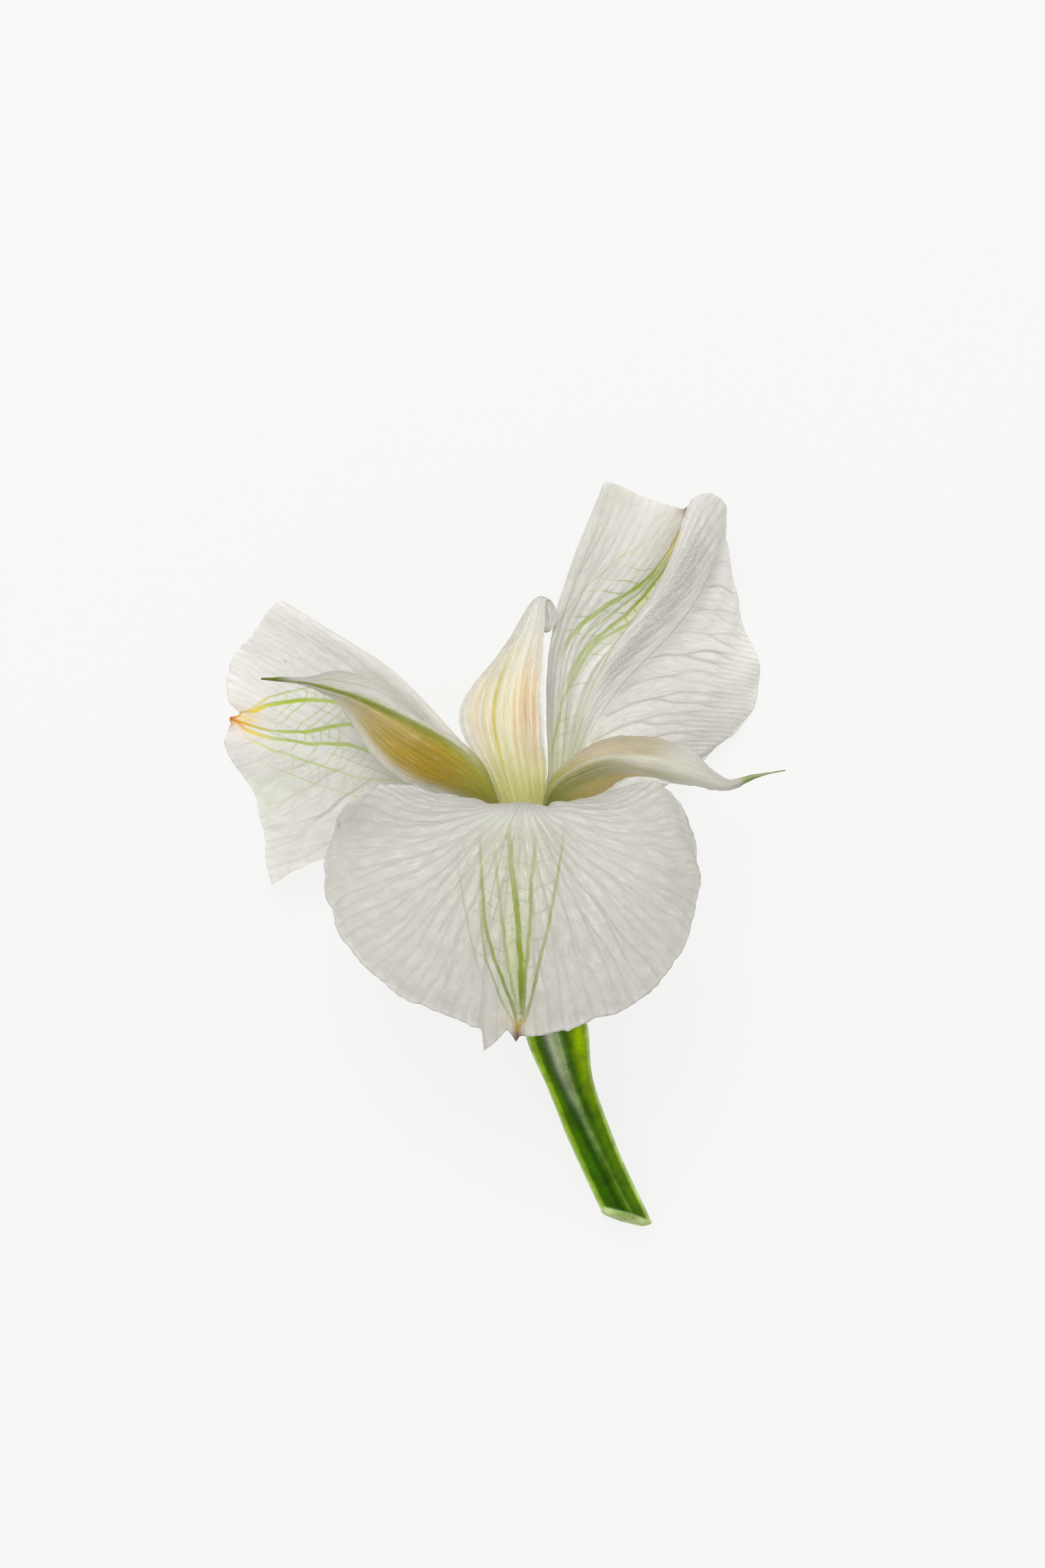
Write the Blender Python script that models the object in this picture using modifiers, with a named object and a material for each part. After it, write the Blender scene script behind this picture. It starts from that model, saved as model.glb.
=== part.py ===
"""White alstroemeria blossom, cut from its bunch and lying on a flat surface.

The flower is modelled in millimetres: +X to the right, +Y from the stalk towards the
back of the blossom, +Z up from the surface. An empty scales it to metres and seats it,
with the origin at the middle of the footprint.

Every tepal is a thin sheet lofted through rows of points, base first. The two rows of its
claw are arcs round the axis of the funnel, and the rows of its blade are given below.
"""

import math

import bmesh
import bpy
import numpy as np

MM = 0.001

TEPAL_THICKNESS = 0.5
# Clearance between the top of the ovary and the claws and stamens that grow from it.
JOIN_GAP = 0.3

# The funnel's axis, from the top of the ovary through the claws to the throat.
FUNNEL_BASE = np.array((4.7, -14.7, 8.8))
FUNNEL_MIDDLE = np.array((3.2, -5.1, 11.2))
THROAT = np.array((1.9, 3.4, 14.5))

# Ring radius and half angle of a claw, at the base and at the middle of the funnel.
OUTER_CLAW = ((2.3, 24), (3.2, 33))
INNER_CLAW = ((1.45, 24), (2.2, 30))

STALK_RIBS = 6
STALK_RIB_DEPTH = 0.11
STALK_RIB_SHARPNESS = 1.5
# Turn of the ribs at the ovary, and how much further they have turned at the cut.
STALK_RIB_TURN = 24
STALK_RIB_TWIST = 27
STALK_RINGS = 26
STALK_SIDES = 36
STALK_SPINE = (
    (16.6, -49.0, 2.9),
    (15.15, -45.6, 3.0),
    (13.5, -42.2, 3.3),
    (11.55, -38.0, 3.9),
    (9.95, -34.2, 4.7),
    (8.5, -30.4, 5.4),
    (7.25, -26.6, 6.3),
    (6.25, -22.4, 7.2),
    (5.45, -18.6, 7.9),
)
STALK_RADII = (2.45, 2.5, 2.55, 2.6, 2.75, 2.85, 3.25, 4.1, 4.0, 2.85)
CUT_POINT = (15.0, -44.7, 2.5)
CUT_NORMAL = (-0.25, -0.94, 0.22)
CUT_TOLERANCE = 1e-6

STAMEN_COUNT = 6
STAMEN_RING = (0.7, 0.9, 0.95)
# How far from the middle of the funnel to the throat the stamens and the style reach.
STAMEN_REACHES = (0.4, 0.5, 0.45)
STYLE_REACH = 0.45
FILAMENT_RADIUS = 0.2
ANTHER_RADIUS = 0.36
ANTHER_LENGTH = 2.6
STYLE_RADIUS = 0.2
STAMEN_RINGS = 16
STYLE_RINGS = 8
FINE_SIDES = 10

# Blade rows, throat first and margin last. An outer tepal folds out over the throat or
# lies back on the surface, and its last row is its broad margin with the point in the
# middle.
FRONT_BLADE = (
    ((5.6, 2.8, 16.4), (4.8, 3.0, 17.1), (3.9, 3.2, 17.6), (2.9, 3.3, 17.8), (1.9, 3.4, 17.9),
     (0.9, 3.3, 17.8), (-0.1, 3.2, 17.6), (-1.2, 3.0, 17.3), (-2.2, 2.8, 16.7)),
    ((6.0, 5.8, 19.6), (4.9, 5.7, 20.4), (3.8, 5.6, 21.0), (2.8, 5.6, 21.3), (1.8, 5.6, 21.4),
     (0.9, 5.6, 21.3), (-0.1, 5.6, 21.0), (-1.2, 5.7, 20.4), (-2.5, 5.8, 19.6)),
    ((12.2, 7.1, 22.0), (10.5, 5.0, 23.8), (8.0, 2.5, 25.4), (4.9, 0.7, 26.4), (1.3, -0.3, 26.8),
     (-2.6, 0.4, 26.4), (-5.9, 2.2, 25.4), (-8.1, 4.9, 23.8), (-9.4, 7.5, 22.0)),
    ((18.1, 8.2, 22.0), (17.6, 0.4, 26.0), (13.7, -5.5, 28.0), (7.7, -9.3, 28.6), (0.9, -10.8, 28.6),
     (-5.9, -9.4, 28.2), (-11.8, -5.6, 27.2), (-15.9, 1.0, 24.6), (-16.4, 7.5, 20.5)),
    ((23.0, 1.4, 20.5), (22.1, -7.2, 24.5), (17.5, -15.6, 26.5), (8.8, -20.1, 26.8), (1.1, -21.3, 26.0),
     (-7.4, -18.9, 26.5), (-15.9, -14.0, 26.0), (-20.8, -6.4, 23.0), (-21.6, 1.7, 18.0)),
)
LEFT_BLADE = (
    ((-0.3, 2.5, 9.5), (-0.7, 3.0, 9.3), (-1.0, 3.5, 9.3), (-1.3, 4.1, 9.4), (-1.5, 4.6, 9.6),
     (-1.7, 5.3, 10.0), (-1.7, 5.9, 10.5), (-1.6, 6.6, 11.0), (-1.3, 7.0, 11.0)),
    ((-7.4, 1.2, 8.2), (-7.7, 2.7, 7.8), (-8.1, 4.3, 7.6), (-8.4, 5.8, 7.4), (-8.7, 7.4, 7.4),
     (-8.9, 9.1, 7.9), (-8.7, 11.5, 9.2), (-7.5, 14.7, 10.4), (-6.1, 13.6, 8.6)),
    ((-14.7, -0.6, 7.0), (-15.2, 2.0, 5.6), (-15.9, 4.8, 5.0), (-16.5, 7.5, 4.8), (-17.0, 10.3, 4.8),
     (-17.3, 13.3, 5.3), (-16.5, 17.4, 7.0), (-14.2, 21.5, 9.0), (-12.6, 19.6, 6.8)),
    ((-22.0, -1.0, 6.8), (-22.7, 2.0, 4.4), (-23.9, 5.7, 3.2), (-24.9, 9.6, 2.8), (-25.4, 13.4, 2.8),
     (-25.7, 17.1, 3.0), (-24.3, 21.8, 4.6), (-21.1, 26.1, 7.2), (-19.5, 23.7, 4.8)),
    ((-28.6, -4.0, 6.0), (-29.7, 2.5, 3.2), (-31.1, 7.5, 1.6), (-34.2, 12.1, 0.9), (-33.7, 16.1, 0.9),
     (-34.3, 21.2, 0.9), (-31.6, 25.7, 2.4), (-27.8, 30.2, 5.4), (-26.0, 28.5, 3.2)),
)
RIGHT_BLADE = (
    ((4.6, 6.6, 10.6), (5.0, 6.3, 10.8), (5.3, 6.1, 10.6), (5.6, 5.8, 10.3), (5.9, 5.6, 10.1),
     (6.2, 5.5, 10.0), (6.35, 5.3, 9.95), (6.5, 5.1, 9.9), (6.6, 4.9, 9.85), (6.7, 4.7, 9.8),
     (6.75, 4.45, 9.8), (6.8, 4.2, 9.8), (6.8, 3.9, 9.85), (6.8, 3.6, 9.9), (6.7, 3.3, 10.0)),
    ((5.8, 14.6, 8.0), (4.9, 14.7, 9.8), (5.5, 14.6, 9.4), (6.3, 14.3, 9.2), (7.0, 13.9, 9.0),
     (7.6, 13.7, 9.0), (8.1, 13.5, 9.2), (8.6, 13.2, 9.3), (9.1, 12.8, 9.2), (9.7, 12.3, 9.0),
     (10.3, 11.7, 8.8), (10.8, 11.0, 8.8), (11.2, 10.3, 8.8), (11.5, 8.7, 8.9), (11.5, 6.2, 8.9)),
    ((6.6, 24.9, 6.6), (5.3, 25.4, 8.6), (6.4, 25.1, 8.0), (7.6, 24.6, 7.4), (9.0, 24.0, 7.0),
     (10.8, 22.8, 6.8), (11.2, 22.6, 7.8), (12.0, 22.0, 8.6), (13.2, 20.8, 8.2), (14.4, 19.2, 7.4),
     (15.4, 17.4, 6.8), (16.1, 15.4, 6.6), (16.4, 13.6, 6.7), (16.2, 10.9, 7.0), (15.5, 6.8, 7.5)),
    ((10.2, 35.5, 6.0), (8.5, 36.5, 8.0), (11.0, 35.3, 6.8), (13.4, 33.9, 5.8), (15.9, 32.1, 4.8),
     (18.9, 30.4, 4.0), (18.2, 31.4, 6.8), (19.4, 32.2, 8.8), (21.6, 30.6, 8.0), (22.8, 28.2, 6.2),
     (23.9, 25.2, 4.6), (24.8, 22.2, 3.6), (25.2, 18.6, 3.4), (23.7, 13.8, 4.0), (20.0, 8.3, 5.4)),
    ((13.4, 43.1, 5.8), (12.0, 45.1, 7.6), (15.3, 43.6, 6.0), (18.9, 42.2, 5.0), (22.1, 41.4, 4.0),
     (22.9, 39.8, 3.0), (21.5, 40.5, 6.4), (23.0, 42.8, 9.2), (26.4, 42.2, 8.0), (26.6, 38.6, 5.0),
     (27.6, 33.5, 3.0), (28.8, 27.8, 1.4), (30.9, 22.0, 1.0), (29.4, 16.3, 1.2), (24.2, 11.3, 3.4)),
)

# The inner tepals are narrow and end in a green cusp. The back one curls over at its tip,
# and the other two are folded along the midrib with the keel up.
BACK_BLADE = (
    ((-0.6, 4.8, 12.8), (0.5, 4.5, 11.9), (1.9, 4.3, 11.5), (3.4, 4.5, 11.9), (4.6, 4.8, 12.8)),
    ((-3.0, 10.2, 14.0), (-1.3, 10.1, 12.8), (0.6, 10.0, 12.3), (2.9, 10.1, 12.8), (4.8, 10.2, 14.0)),
    ((-5.7, 16.3, 13.6), (-3.2, 16.1, 12.6), (-0.4, 16.0, 12.0), (2.2, 16.1, 12.6), (4.4, 16.3, 14.0)),
    ((-2.6, 21.8, 12.0), (-1.3, 21.9, 11.6), (0.5, 22.1, 11.2), (2.6, 22.0, 11.8), (4.5, 21.7, 13.0)),
    ((0.9, 26.6, 11.2), (1.6, 26.8, 11.0), (2.6, 27.0, 10.8), (3.7, 26.8, 11.2), (4.5, 26.5, 11.9)),
    ((3.3, 30.3, 10.3), (3.7, 30.6, 10.3), (4.1, 30.7, 10.2), (4.5, 30.6, 10.2), (4.9, 30.4, 10.3)),
    ((4.4, 28.1, 9.4), (4.9, 28.5, 9.4), (5.3, 28.8, 9.3), (5.7, 28.9, 9.3), (6.1, 28.7, 9.3)),
    ((4.5, 26.5, 9.3), (4.7, 26.4, 9.3), (4.9, 26.4, 9.3), (5.1, 26.5, 9.3), (5.3, 26.6, 9.3)),
)
INNER_LEFT_BLADE = (
    ((-0.5, 4.2, 14.0), (-0.6, 4.6, 15.1), (-0.7, 5.1, 15.7),
     (-0.9, 5.7, 15.5), (-1.1, 6.2, 14.8)),
    ((-7.6, 7.0, 14.0), (-6.6, 9.4, 16.4), (-5.4, 12.1, 17.8),
     (-4.4, 12.3, 16.4), (-4.1, 11.3, 14.9)),
    ((-14.1, 9.6, 12.4), (-12.6, 12.9, 15.6), (-10.9, 15.4, 17.6),
     (-9.5, 15.3, 15.8), (-8.6, 14.2, 13.4)),
    ((-18.4, 14.9, 11.2), (-17.2, 16.8, 14.4), (-16.2, 17.9, 16.0),
     (-13.9, 19.5, 14.6), (-12.8, 18.9, 12.8)),
    ((-21.1, 18.6, 11.6), (-20.6, 18.9, 13.6), (-20.1, 19.3, 14.6),
     (-19.6, 20.9, 13.8), (-19.2, 21.6, 12.6)),
    ((-25.6, 19.8, 12.4), (-25.2, 20.1, 13.2), (-24.9, 20.4, 13.7),
     (-24.7, 21.0, 13.2), (-24.3, 21.7, 12.6)),
    ((-29.6, 20.6, 12.6), (-29.5, 20.7, 12.8), (-29.4, 20.8, 12.9),
     (-29.4, 20.9, 12.8), (-29.3, 21.0, 12.6)),
)
INNER_RIGHT_BLADE = (
    ((4.5, 5.9, 15.0), (4.4, 5.4, 15.7), (4.4, 4.9, 15.9), (4.7, 4.5, 15.3), (5.2, 4.3, 14.3)),
    ((7.1, 10.7, 16.4), (6.9, 10.1, 18.4), (7.1, 9.3, 19.4), (7.9, 8.4, 18.6), (9.5, 6.5, 16.0)),
    ((11.6, 13.5, 17.6), (11.5, 12.6, 20.0), (11.7, 11.3, 21.4), (12.7, 10.2, 20.0), (12.9, 8.2, 16.8)),
    ((16.5, 13.8, 17.4), (16.3, 12.7, 19.8), (16.3, 11.3, 21.2), (17.2, 9.4, 19.6), (15.7, 9.1, 16.6)),
    ((21.5, 12.3, 16.4), (21.2, 11.6, 18.2), (21.0, 10.5, 19.4), (21.7, 8.6, 18.2), (20.8, 8.2, 15.8)),
    ((25.9, 9.0, 15.4), (25.9, 8.8, 16.0), (26.0, 8.5, 16.4), (26.3, 7.7, 16.0), (26.1, 7.4, 15.0)),
    ((28.8, 9.2, 15.0), (28.8, 9.1, 15.4), (28.9, 8.9, 15.6), (29.0, 8.6, 15.4), (28.8, 8.3, 15.0)),
    ((33.3, 10.0, 15.0), (33.3, 9.9, 15.1), (33.3, 9.8, 15.2), (33.3, 9.7, 15.1), (33.3, 9.6, 15.0)),
)

# Each tepal: the angle of its claw round the funnel, the way its columns run round the
# ring, its claw, its blade, and the faces of its sheet across and along.
TEPALS = {
    "outer_tepal_front": (90, 1, OUTER_CLAW, FRONT_BLADE, 18, 18),
    "outer_tepal_left": (210, -1, OUTER_CLAW, LEFT_BLADE, 20, 16),
    "outer_tepal_right": (330, 1, OUTER_CLAW, RIGHT_BLADE, 30, 18),
    "inner_tepal_back": (270, 1, INNER_CLAW, BACK_BLADE, 8, 24),
    "inner_tepal_left": (150, 1, INNER_CLAW, INNER_LEFT_BLADE, 10, 22),
    "inner_tepal_right": (30, -1, INNER_CLAW, INNER_RIGHT_BLADE, 10, 22),
}


def clear_scene():
    for obj in list(bpy.data.objects):
        bpy.data.objects.remove(obj, do_unlink=True)


def make_material(name, color, roughness, subsurface=0.0):
    material = bpy.data.materials.new(name)
    material.use_nodes = True
    shader = material.node_tree.nodes["Principled BSDF"]
    shader.inputs["Base Color"].default_value = (*color, 1.0)
    shader.inputs["Roughness"].default_value = roughness
    shader.inputs["Metallic"].default_value = 0.0
    shader.inputs["Subsurface Weight"].default_value = subsurface
    material.diffuse_color = (*color, 1.0)
    return material


def spline(points, steps):
    """Points along the natural cubic spline through evenly spaced points."""
    points = np.asarray(points, float)
    count = len(points)
    matrix = np.zeros((count, count))
    matrix[0, 0] = matrix[-1, -1] = 1.0
    bends = np.zeros_like(points)
    for i in range(1, count - 1):
        matrix[i, i - 1 : i + 2] = (1.0, 4.0, 1.0)
        bends[i] = 6.0 * (points[i + 1] - 2.0 * points[i] + points[i - 1])
    second = np.linalg.solve(matrix, bends.reshape(count, -1)).reshape(points.shape)
    place = np.linspace(0.0, count - 1.0, steps + 1)
    knot = np.minimum(place.astype(int), count - 2)
    ahead = (place - knot).reshape((-1,) + (1,) * (points.ndim - 1))
    behind = 1.0 - ahead
    line = behind * points[knot] + ahead * points[knot + 1]
    curve = (behind**3 - behind) * second[knot] + (ahead**3 - ahead) * second[knot + 1]
    return line + curve / 6.0


def funnel_frame():
    """Right and up directions across the funnel's axis, and the axis itself."""
    axis = FUNNEL_MIDDLE - FUNNEL_BASE
    axis /= np.linalg.norm(axis)
    right = np.cross(axis, (0.0, 0.0, 1.0))
    right /= np.linalg.norm(right)
    return right, np.cross(right, axis), axis


def ring_point(center, radius, degrees):
    right, up, _ = funnel_frame()
    angle = math.radians(degrees)
    return center + radius * (math.cos(angle) * right + math.sin(angle) * up)


def claw_row(center, ring, angle, way, columns):
    radius, half_angle = ring
    turns = np.linspace(-half_angle, half_angle, columns) * way
    return [ring_point(center, radius, angle + turn) for turn in turns]


def add_object(name, mesh, material, collection, seat):
    mesh.materials.append(material)
    obj = bpy.data.objects.new(name, mesh)
    collection.objects.link(obj)
    obj.parent = seat
    return obj


def grid_mesh(name, grid, wrap=False):
    """A mesh of quads over rows of points, closed round each row if wrap is set."""
    rows, columns = grid.shape[:2]
    faces = []
    for row in range(rows - 1):
        for column in range(columns if wrap else columns - 1):
            after = (column + 1) % columns
            low, high = row * columns, (row + 1) * columns
            faces.append((low + column, low + after, high + after, high + column))
    if wrap:
        faces.append(tuple(reversed(range(columns))))
        faces.append(tuple(range((rows - 1) * columns, rows * columns)))
    mesh = bpy.data.meshes.new(name)
    mesh.from_pydata(grid.reshape(-1, 3).tolist(), [], faces)
    mesh.shade_smooth()
    return mesh


def add_tepal(name, material, collection, seat):
    angle, way, (base, middle), blade, across, along = TEPALS[name]
    columns = len(blade[0])
    rows = [
        claw_row(FUNNEL_BASE, base, angle, way, columns),
        claw_row(FUNNEL_MIDDLE, middle, angle, way, columns),
        *blade,
    ]
    lengthwise = spline(rows, along)
    sheet = spline(lengthwise.transpose(1, 0, 2), across).transpose(1, 0, 2)
    obj = add_object(name, grid_mesh(name, sheet), material, collection, seat)
    shell = obj.modifiers.new("Thickness", "SOLIDIFY")
    shell.thickness = TEPAL_THICKNESS
    shell.offset = 0.0
    return obj


def sweep(spine, radii, sides, ribs=0, rib_depth=0.0, rib_turns=None):
    """Rings of points along a spine, each across it and level from side to side."""
    tangents = np.gradient(spine, axis=0)
    turns = np.zeros(len(spine)) if rib_turns is None else np.radians(rib_turns)
    rings = []
    for center, tangent, radius, turn in zip(spine, tangents, radii, turns):
        tangent = tangent / np.linalg.norm(tangent)
        side = np.cross(tangent, (0.0, 0.0, 1.0))
        side /= np.linalg.norm(side)
        up = np.cross(side, tangent)
        ring = []
        for step in range(sides):
            angle = math.tau * step / sides
            crest = 0.5 + 0.5 * math.cos(ribs * (angle - turn))
            reach = radius * (1.0 - rib_depth * (1.0 - crest**STALK_RIB_SHARPNESS)) if ribs else radius
            ring.append(center + reach * (math.cos(angle) * side - math.sin(angle) * up))
        rings.append(ring)
    return np.array(rings)


def add_stalk(material, collection, seat):
    """The ribbed stalk and the ovary that it swells into, grown as one piece."""
    _, _, axis = funnel_frame()
    top = FUNNEL_BASE - JOIN_GAP * axis
    spine = spline([*STALK_SPINE, top], STALK_RINGS)
    radii = spline(STALK_RADII, STALK_RINGS)
    turns = STALK_RIB_TURN + STALK_RIB_TWIST * np.linspace(1.0, 0.0, STALK_RINGS + 1)
    rings = sweep(spine, radii, STALK_SIDES, STALK_RIBS, STALK_RIB_DEPTH, turns)
    mesh = grid_mesh("stalk_with_ovary", rings, wrap=True)
    body = bmesh.new()
    body.from_mesh(mesh)
    everything = body.verts[:] + body.edges[:] + body.faces[:]
    cut = bmesh.ops.bisect_plane(
        body,
        geom=everything,
        dist=CUT_TOLERANCE,
        plane_co=CUT_POINT,
        plane_no=CUT_NORMAL,
        clear_outer=True,
    )
    rim = [part for part in cut["geom_cut"] if isinstance(part, bmesh.types.BMEdge)]
    bmesh.ops.contextual_create(body, geom=rim)
    bmesh.ops.recalc_face_normals(body, faces=body.faces[:])
    body.to_mesh(mesh)
    body.free()
    return add_object("stalk_with_ovary", mesh, material, collection, seat)


def add_stamen(number, material, collection, seat):
    """A filament that leans outward inside the funnel, and its anther, in one piece."""
    angle = 360.0 * (number + 0.5) / STAMEN_COUNT
    reach = STAMEN_REACHES[number % len(STAMEN_REACHES)]
    tip = FUNNEL_MIDDLE + reach * (THROAT - FUNNEL_MIDDLE)
    path = [
        ring_point(FUNNEL_BASE, STAMEN_RING[0], angle),
        ring_point(FUNNEL_MIDDLE, STAMEN_RING[1], angle),
        ring_point(tip, STAMEN_RING[2], angle),
    ]
    spine = spline(path, STAMEN_RINGS)
    past_tip = np.linalg.norm(spine - spine[-1], axis=1) / ANTHER_LENGTH
    bulge = np.sqrt(np.clip(1.0 - (2.0 * past_tip - 1.0) ** 2, 0.0, 1.0))
    radii = FILAMENT_RADIUS + (ANTHER_RADIUS - FILAMENT_RADIUS) * bulge
    rings = sweep(spine, radii, FINE_SIDES)
    name = f"stamen_{number + 1}"
    return add_object(name, grid_mesh(name, rings, wrap=True), material, collection, seat)


def add_style(material, collection, seat):
    tip = FUNNEL_MIDDLE + STYLE_REACH * (THROAT - FUNNEL_MIDDLE)
    spine = spline([FUNNEL_BASE, FUNNEL_MIDDLE, tip], STYLE_RINGS)
    rings = sweep(spine, np.full(STYLE_RINGS + 1, STYLE_RADIUS), FINE_SIDES)
    return add_object("style", grid_mesh("style", rings, wrap=True), material, collection, seat)


def seat_on_surface(seat, objects):
    """Moves the empty so that the flower stands on Z = 0, centred on the origin."""
    bpy.context.view_layer.update()
    graph = bpy.context.evaluated_depsgraph_get()
    points = []
    for obj in objects:
        evaluated = obj.evaluated_get(graph)
        mesh = evaluated.to_mesh()
        points.extend(evaluated.matrix_world @ vertex.co for vertex in mesh.vertices)
        evaluated.to_mesh_clear()
    points = np.array(points)
    low, high = points.min(axis=0), points.max(axis=0)
    seat.location = (-(low[0] + high[0]) / 2, -(low[1] + high[1]) / 2, -low[2])


def main():
    clear_scene()
    collection = bpy.data.collections.new("alstroemeria_flower")
    bpy.context.scene.collection.children.link(collection)
    seat = bpy.data.objects.new("seat", None)
    seat.scale = (MM, MM, MM)
    collection.objects.link(seat)

    white = make_material("tepal_white", (0.86, 0.86, 0.83), 0.55, 0.2)
    flushed = make_material("inner_tepal_yellow", (0.80, 0.76, 0.50), 0.5, 0.2)
    green = make_material("stalk_green", (0.14, 0.30, 0.03), 0.35)
    pollen = make_material("stamen_yellow", (0.62, 0.55, 0.20), 0.7)
    pale = make_material("style_pale", (0.80, 0.82, 0.62), 0.5)

    objects = [add_stalk(green, collection, seat)]
    for name in TEPALS:
        material = flushed if name.startswith("inner") else white
        objects.append(add_tepal(name, material, collection, seat))
    for number in range(STAMEN_COUNT):
        objects.append(add_stamen(number, pollen, collection, seat))
    objects.append(add_style(pale, collection, seat))
    seat_on_surface(seat, objects)


main()
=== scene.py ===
import math

import bpy
import mathutils
import numpy as np
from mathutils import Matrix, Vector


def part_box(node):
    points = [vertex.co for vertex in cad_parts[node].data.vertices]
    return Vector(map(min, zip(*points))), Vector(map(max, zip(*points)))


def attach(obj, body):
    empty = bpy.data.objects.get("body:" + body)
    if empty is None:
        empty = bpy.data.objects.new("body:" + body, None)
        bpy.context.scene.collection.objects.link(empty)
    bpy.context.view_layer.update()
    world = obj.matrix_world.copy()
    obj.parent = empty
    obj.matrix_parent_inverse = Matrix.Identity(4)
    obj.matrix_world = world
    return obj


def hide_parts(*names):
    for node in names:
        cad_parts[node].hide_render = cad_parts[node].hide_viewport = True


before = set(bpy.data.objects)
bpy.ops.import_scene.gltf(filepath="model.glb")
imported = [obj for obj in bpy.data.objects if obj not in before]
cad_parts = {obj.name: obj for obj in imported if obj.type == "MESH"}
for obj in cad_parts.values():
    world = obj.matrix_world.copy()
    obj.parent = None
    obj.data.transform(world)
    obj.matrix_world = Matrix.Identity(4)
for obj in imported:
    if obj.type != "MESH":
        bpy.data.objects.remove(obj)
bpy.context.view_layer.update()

mm = 0.001

# the funnel that the claws form, in millimetres: its axis, and each claw's ring radius and half angle
funnel = {
    "base": np.array((4.7, -14.7, 8.8)),
    "middle": np.array((3.2, -5.1, 11.2)),
    "throat": np.array((1.9, 3.4, 14.5)),
    "outerClaw": ((2.3, 24), (3.2, 33)),
    "innerClaw": ((1.45, 24), (2.2, 30)),
    "joinGap": 0.3,
}


# smooth ramps, bumps and splines

def smooth(low, high, x):
    t = np.clip((np.asarray(x, float) - low) / (high - low), 0.0, 1.0)
    return t * t * (3.0 - 2.0 * t)


def fall(low, high, x):
    return 1.0 - smooth(low, high, x)


def bell(x, centre, width):
    return np.exp(-(((np.asarray(x, float) - centre) / width) ** 2))


def wander(x, seed, slow, fast, count=6):
    # a smooth random line, about -1 to 1, with waves from the slow to the fast rate
    luck = np.random.default_rng(seed)
    line = np.zeros(np.shape(x))
    for rate in np.geomspace(slow, fast, count):
        line = line + np.sin(math.tau * rate * luck.uniform(0.85, 1.15) * x + luck.uniform(0, math.tau))
    return line / (0.75 * count)


def wanderOver(x, y, seed, slow, fast, count=8):
    # the same over a surface, with waves in every direction
    luck = np.random.default_rng(seed)
    field = np.zeros(np.shape(x))
    for rate in np.geomspace(slow, fast, count):
        turn = luck.uniform(0, math.pi)
        along = math.cos(turn) * x + math.sin(turn) * y
        field = field + np.sin(math.tau * rate * along + luck.uniform(0, math.tau))
    return field / (0.6 * count)


def splineAt(points, share, paired=False):
    # natural cubic spline through evenly spaced points, share runs from 0 to 1
    # paired: points[:, i] is a curve of its own, read at share[i]
    points = np.asarray(points, float)
    count = len(points)
    matrix = np.zeros((count, count))
    matrix[0, 0] = matrix[-1, -1] = 1.0
    bends = np.zeros_like(points)
    for i in range(1, count - 1):
        matrix[i, i - 1 : i + 2] = (1.0, 4.0, 1.0)
        bends[i] = 6.0 * (points[i + 1] - 2.0 * points[i] + points[i - 1])
    second = np.linalg.solve(matrix, bends.reshape(count, -1)).reshape(points.shape)
    at = np.atleast_1d(share) * (count - 1.0)
    knot = np.clip(at.astype(int), 0, count - 2)
    low = (knot, np.arange(len(at))) if paired else knot
    high = (knot + 1, np.arange(len(at))) if paired else knot + 1
    ahead = (at - knot).reshape((-1,) + (1,) * (points.ndim - (2 if paired else 1)))
    behind = 1.0 - ahead
    line = behind * points[low] + ahead * points[high]
    return line + ((behind**3 - behind) * second[low] + (ahead**3 - ahead) * second[high]) / 6.0


def surfaceAt(rows, u, v):
    # points of a lofted sheet, u across it and v from the claw's base to the margin
    along = splineAt(rows, v.ravel())
    across = splineAt(np.moveaxis(along, 1, 0), u.ravel(), paired=True)
    return across.reshape(*u.shape, 3)


def ringPoint(centre, radius, degrees):
    # a point on a ring that stands square to the funnel's axis, 90 degrees is its upper side
    axis = funnel["middle"] - funnel["base"]
    right = np.cross(axis, (0.0, 0.0, 1.0))
    right /= np.linalg.norm(right)
    up = np.cross(right, axis / np.linalg.norm(axis))
    angle = math.radians(degrees)
    return centre + radius * (math.cos(angle) * right + math.sin(angle) * up)


def tepalRows(tepal):
    # the claw's two rows are arcs round the funnel, the blade's rows are listed
    rows = []
    columns = len(tepal["blade"][0])
    for centre, (radius, halfAngle) in zip((funnel["base"], funnel["middle"]), funnel[tepal["claw"]]):
        turns = np.linspace(-halfAngle, halfAngle, columns) * tepal["way"]
        rows.append([ringPoint(centre, radius, tepal["angle"] + turn) for turn in turns])
    return np.array(rows + [list(row) for row in tepal["blade"]])


def lengthsAlong(points, axis):
    # running length of each line of a grid of points
    steps = np.linalg.norm(np.diff(points, axis=axis), axis=-1)
    start = np.zeros_like(np.take(steps, [0], axis=axis))
    return np.concatenate([start, np.cumsum(steps, axis=axis)], axis=axis)


# meshes

def writePoints(mesh, name, kind, part, values, skins):
    # values for every point, written once for each skin of a sheet
    made = mesh.attributes.new(name, kind, "POINT")
    made.data.foreach_set(part, np.tile(np.asarray(values, np.float32).ravel(), skins))


def writeVectors(mesh, name, parts, skins=1):
    writePoints(mesh, name, "FLOAT_VECTOR", "vector", np.stack(np.broadcast_arrays(*parts), -1), skins)


def writeColours(mesh, name, colours, skins=1):
    opaque = np.ones(colours.shape[:-1] + (1,))
    values = np.concatenate([np.clip(colours, 0, 1), opaque], -1)
    writePoints(mesh, name, "FLOAT_COLOR", "color", values, skins)


def addPiece(name, mesh, material, slot, *nodes):
    mesh.materials.append(material)
    mesh.shade_smooth()
    piece = bpy.data.objects.new(name, mesh)
    bpy.context.scene.collection.objects.link(piece)
    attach(piece, "root")
    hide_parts(*nodes)
    print(name, "made,", len(mesh.polygons), "faces")


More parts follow.
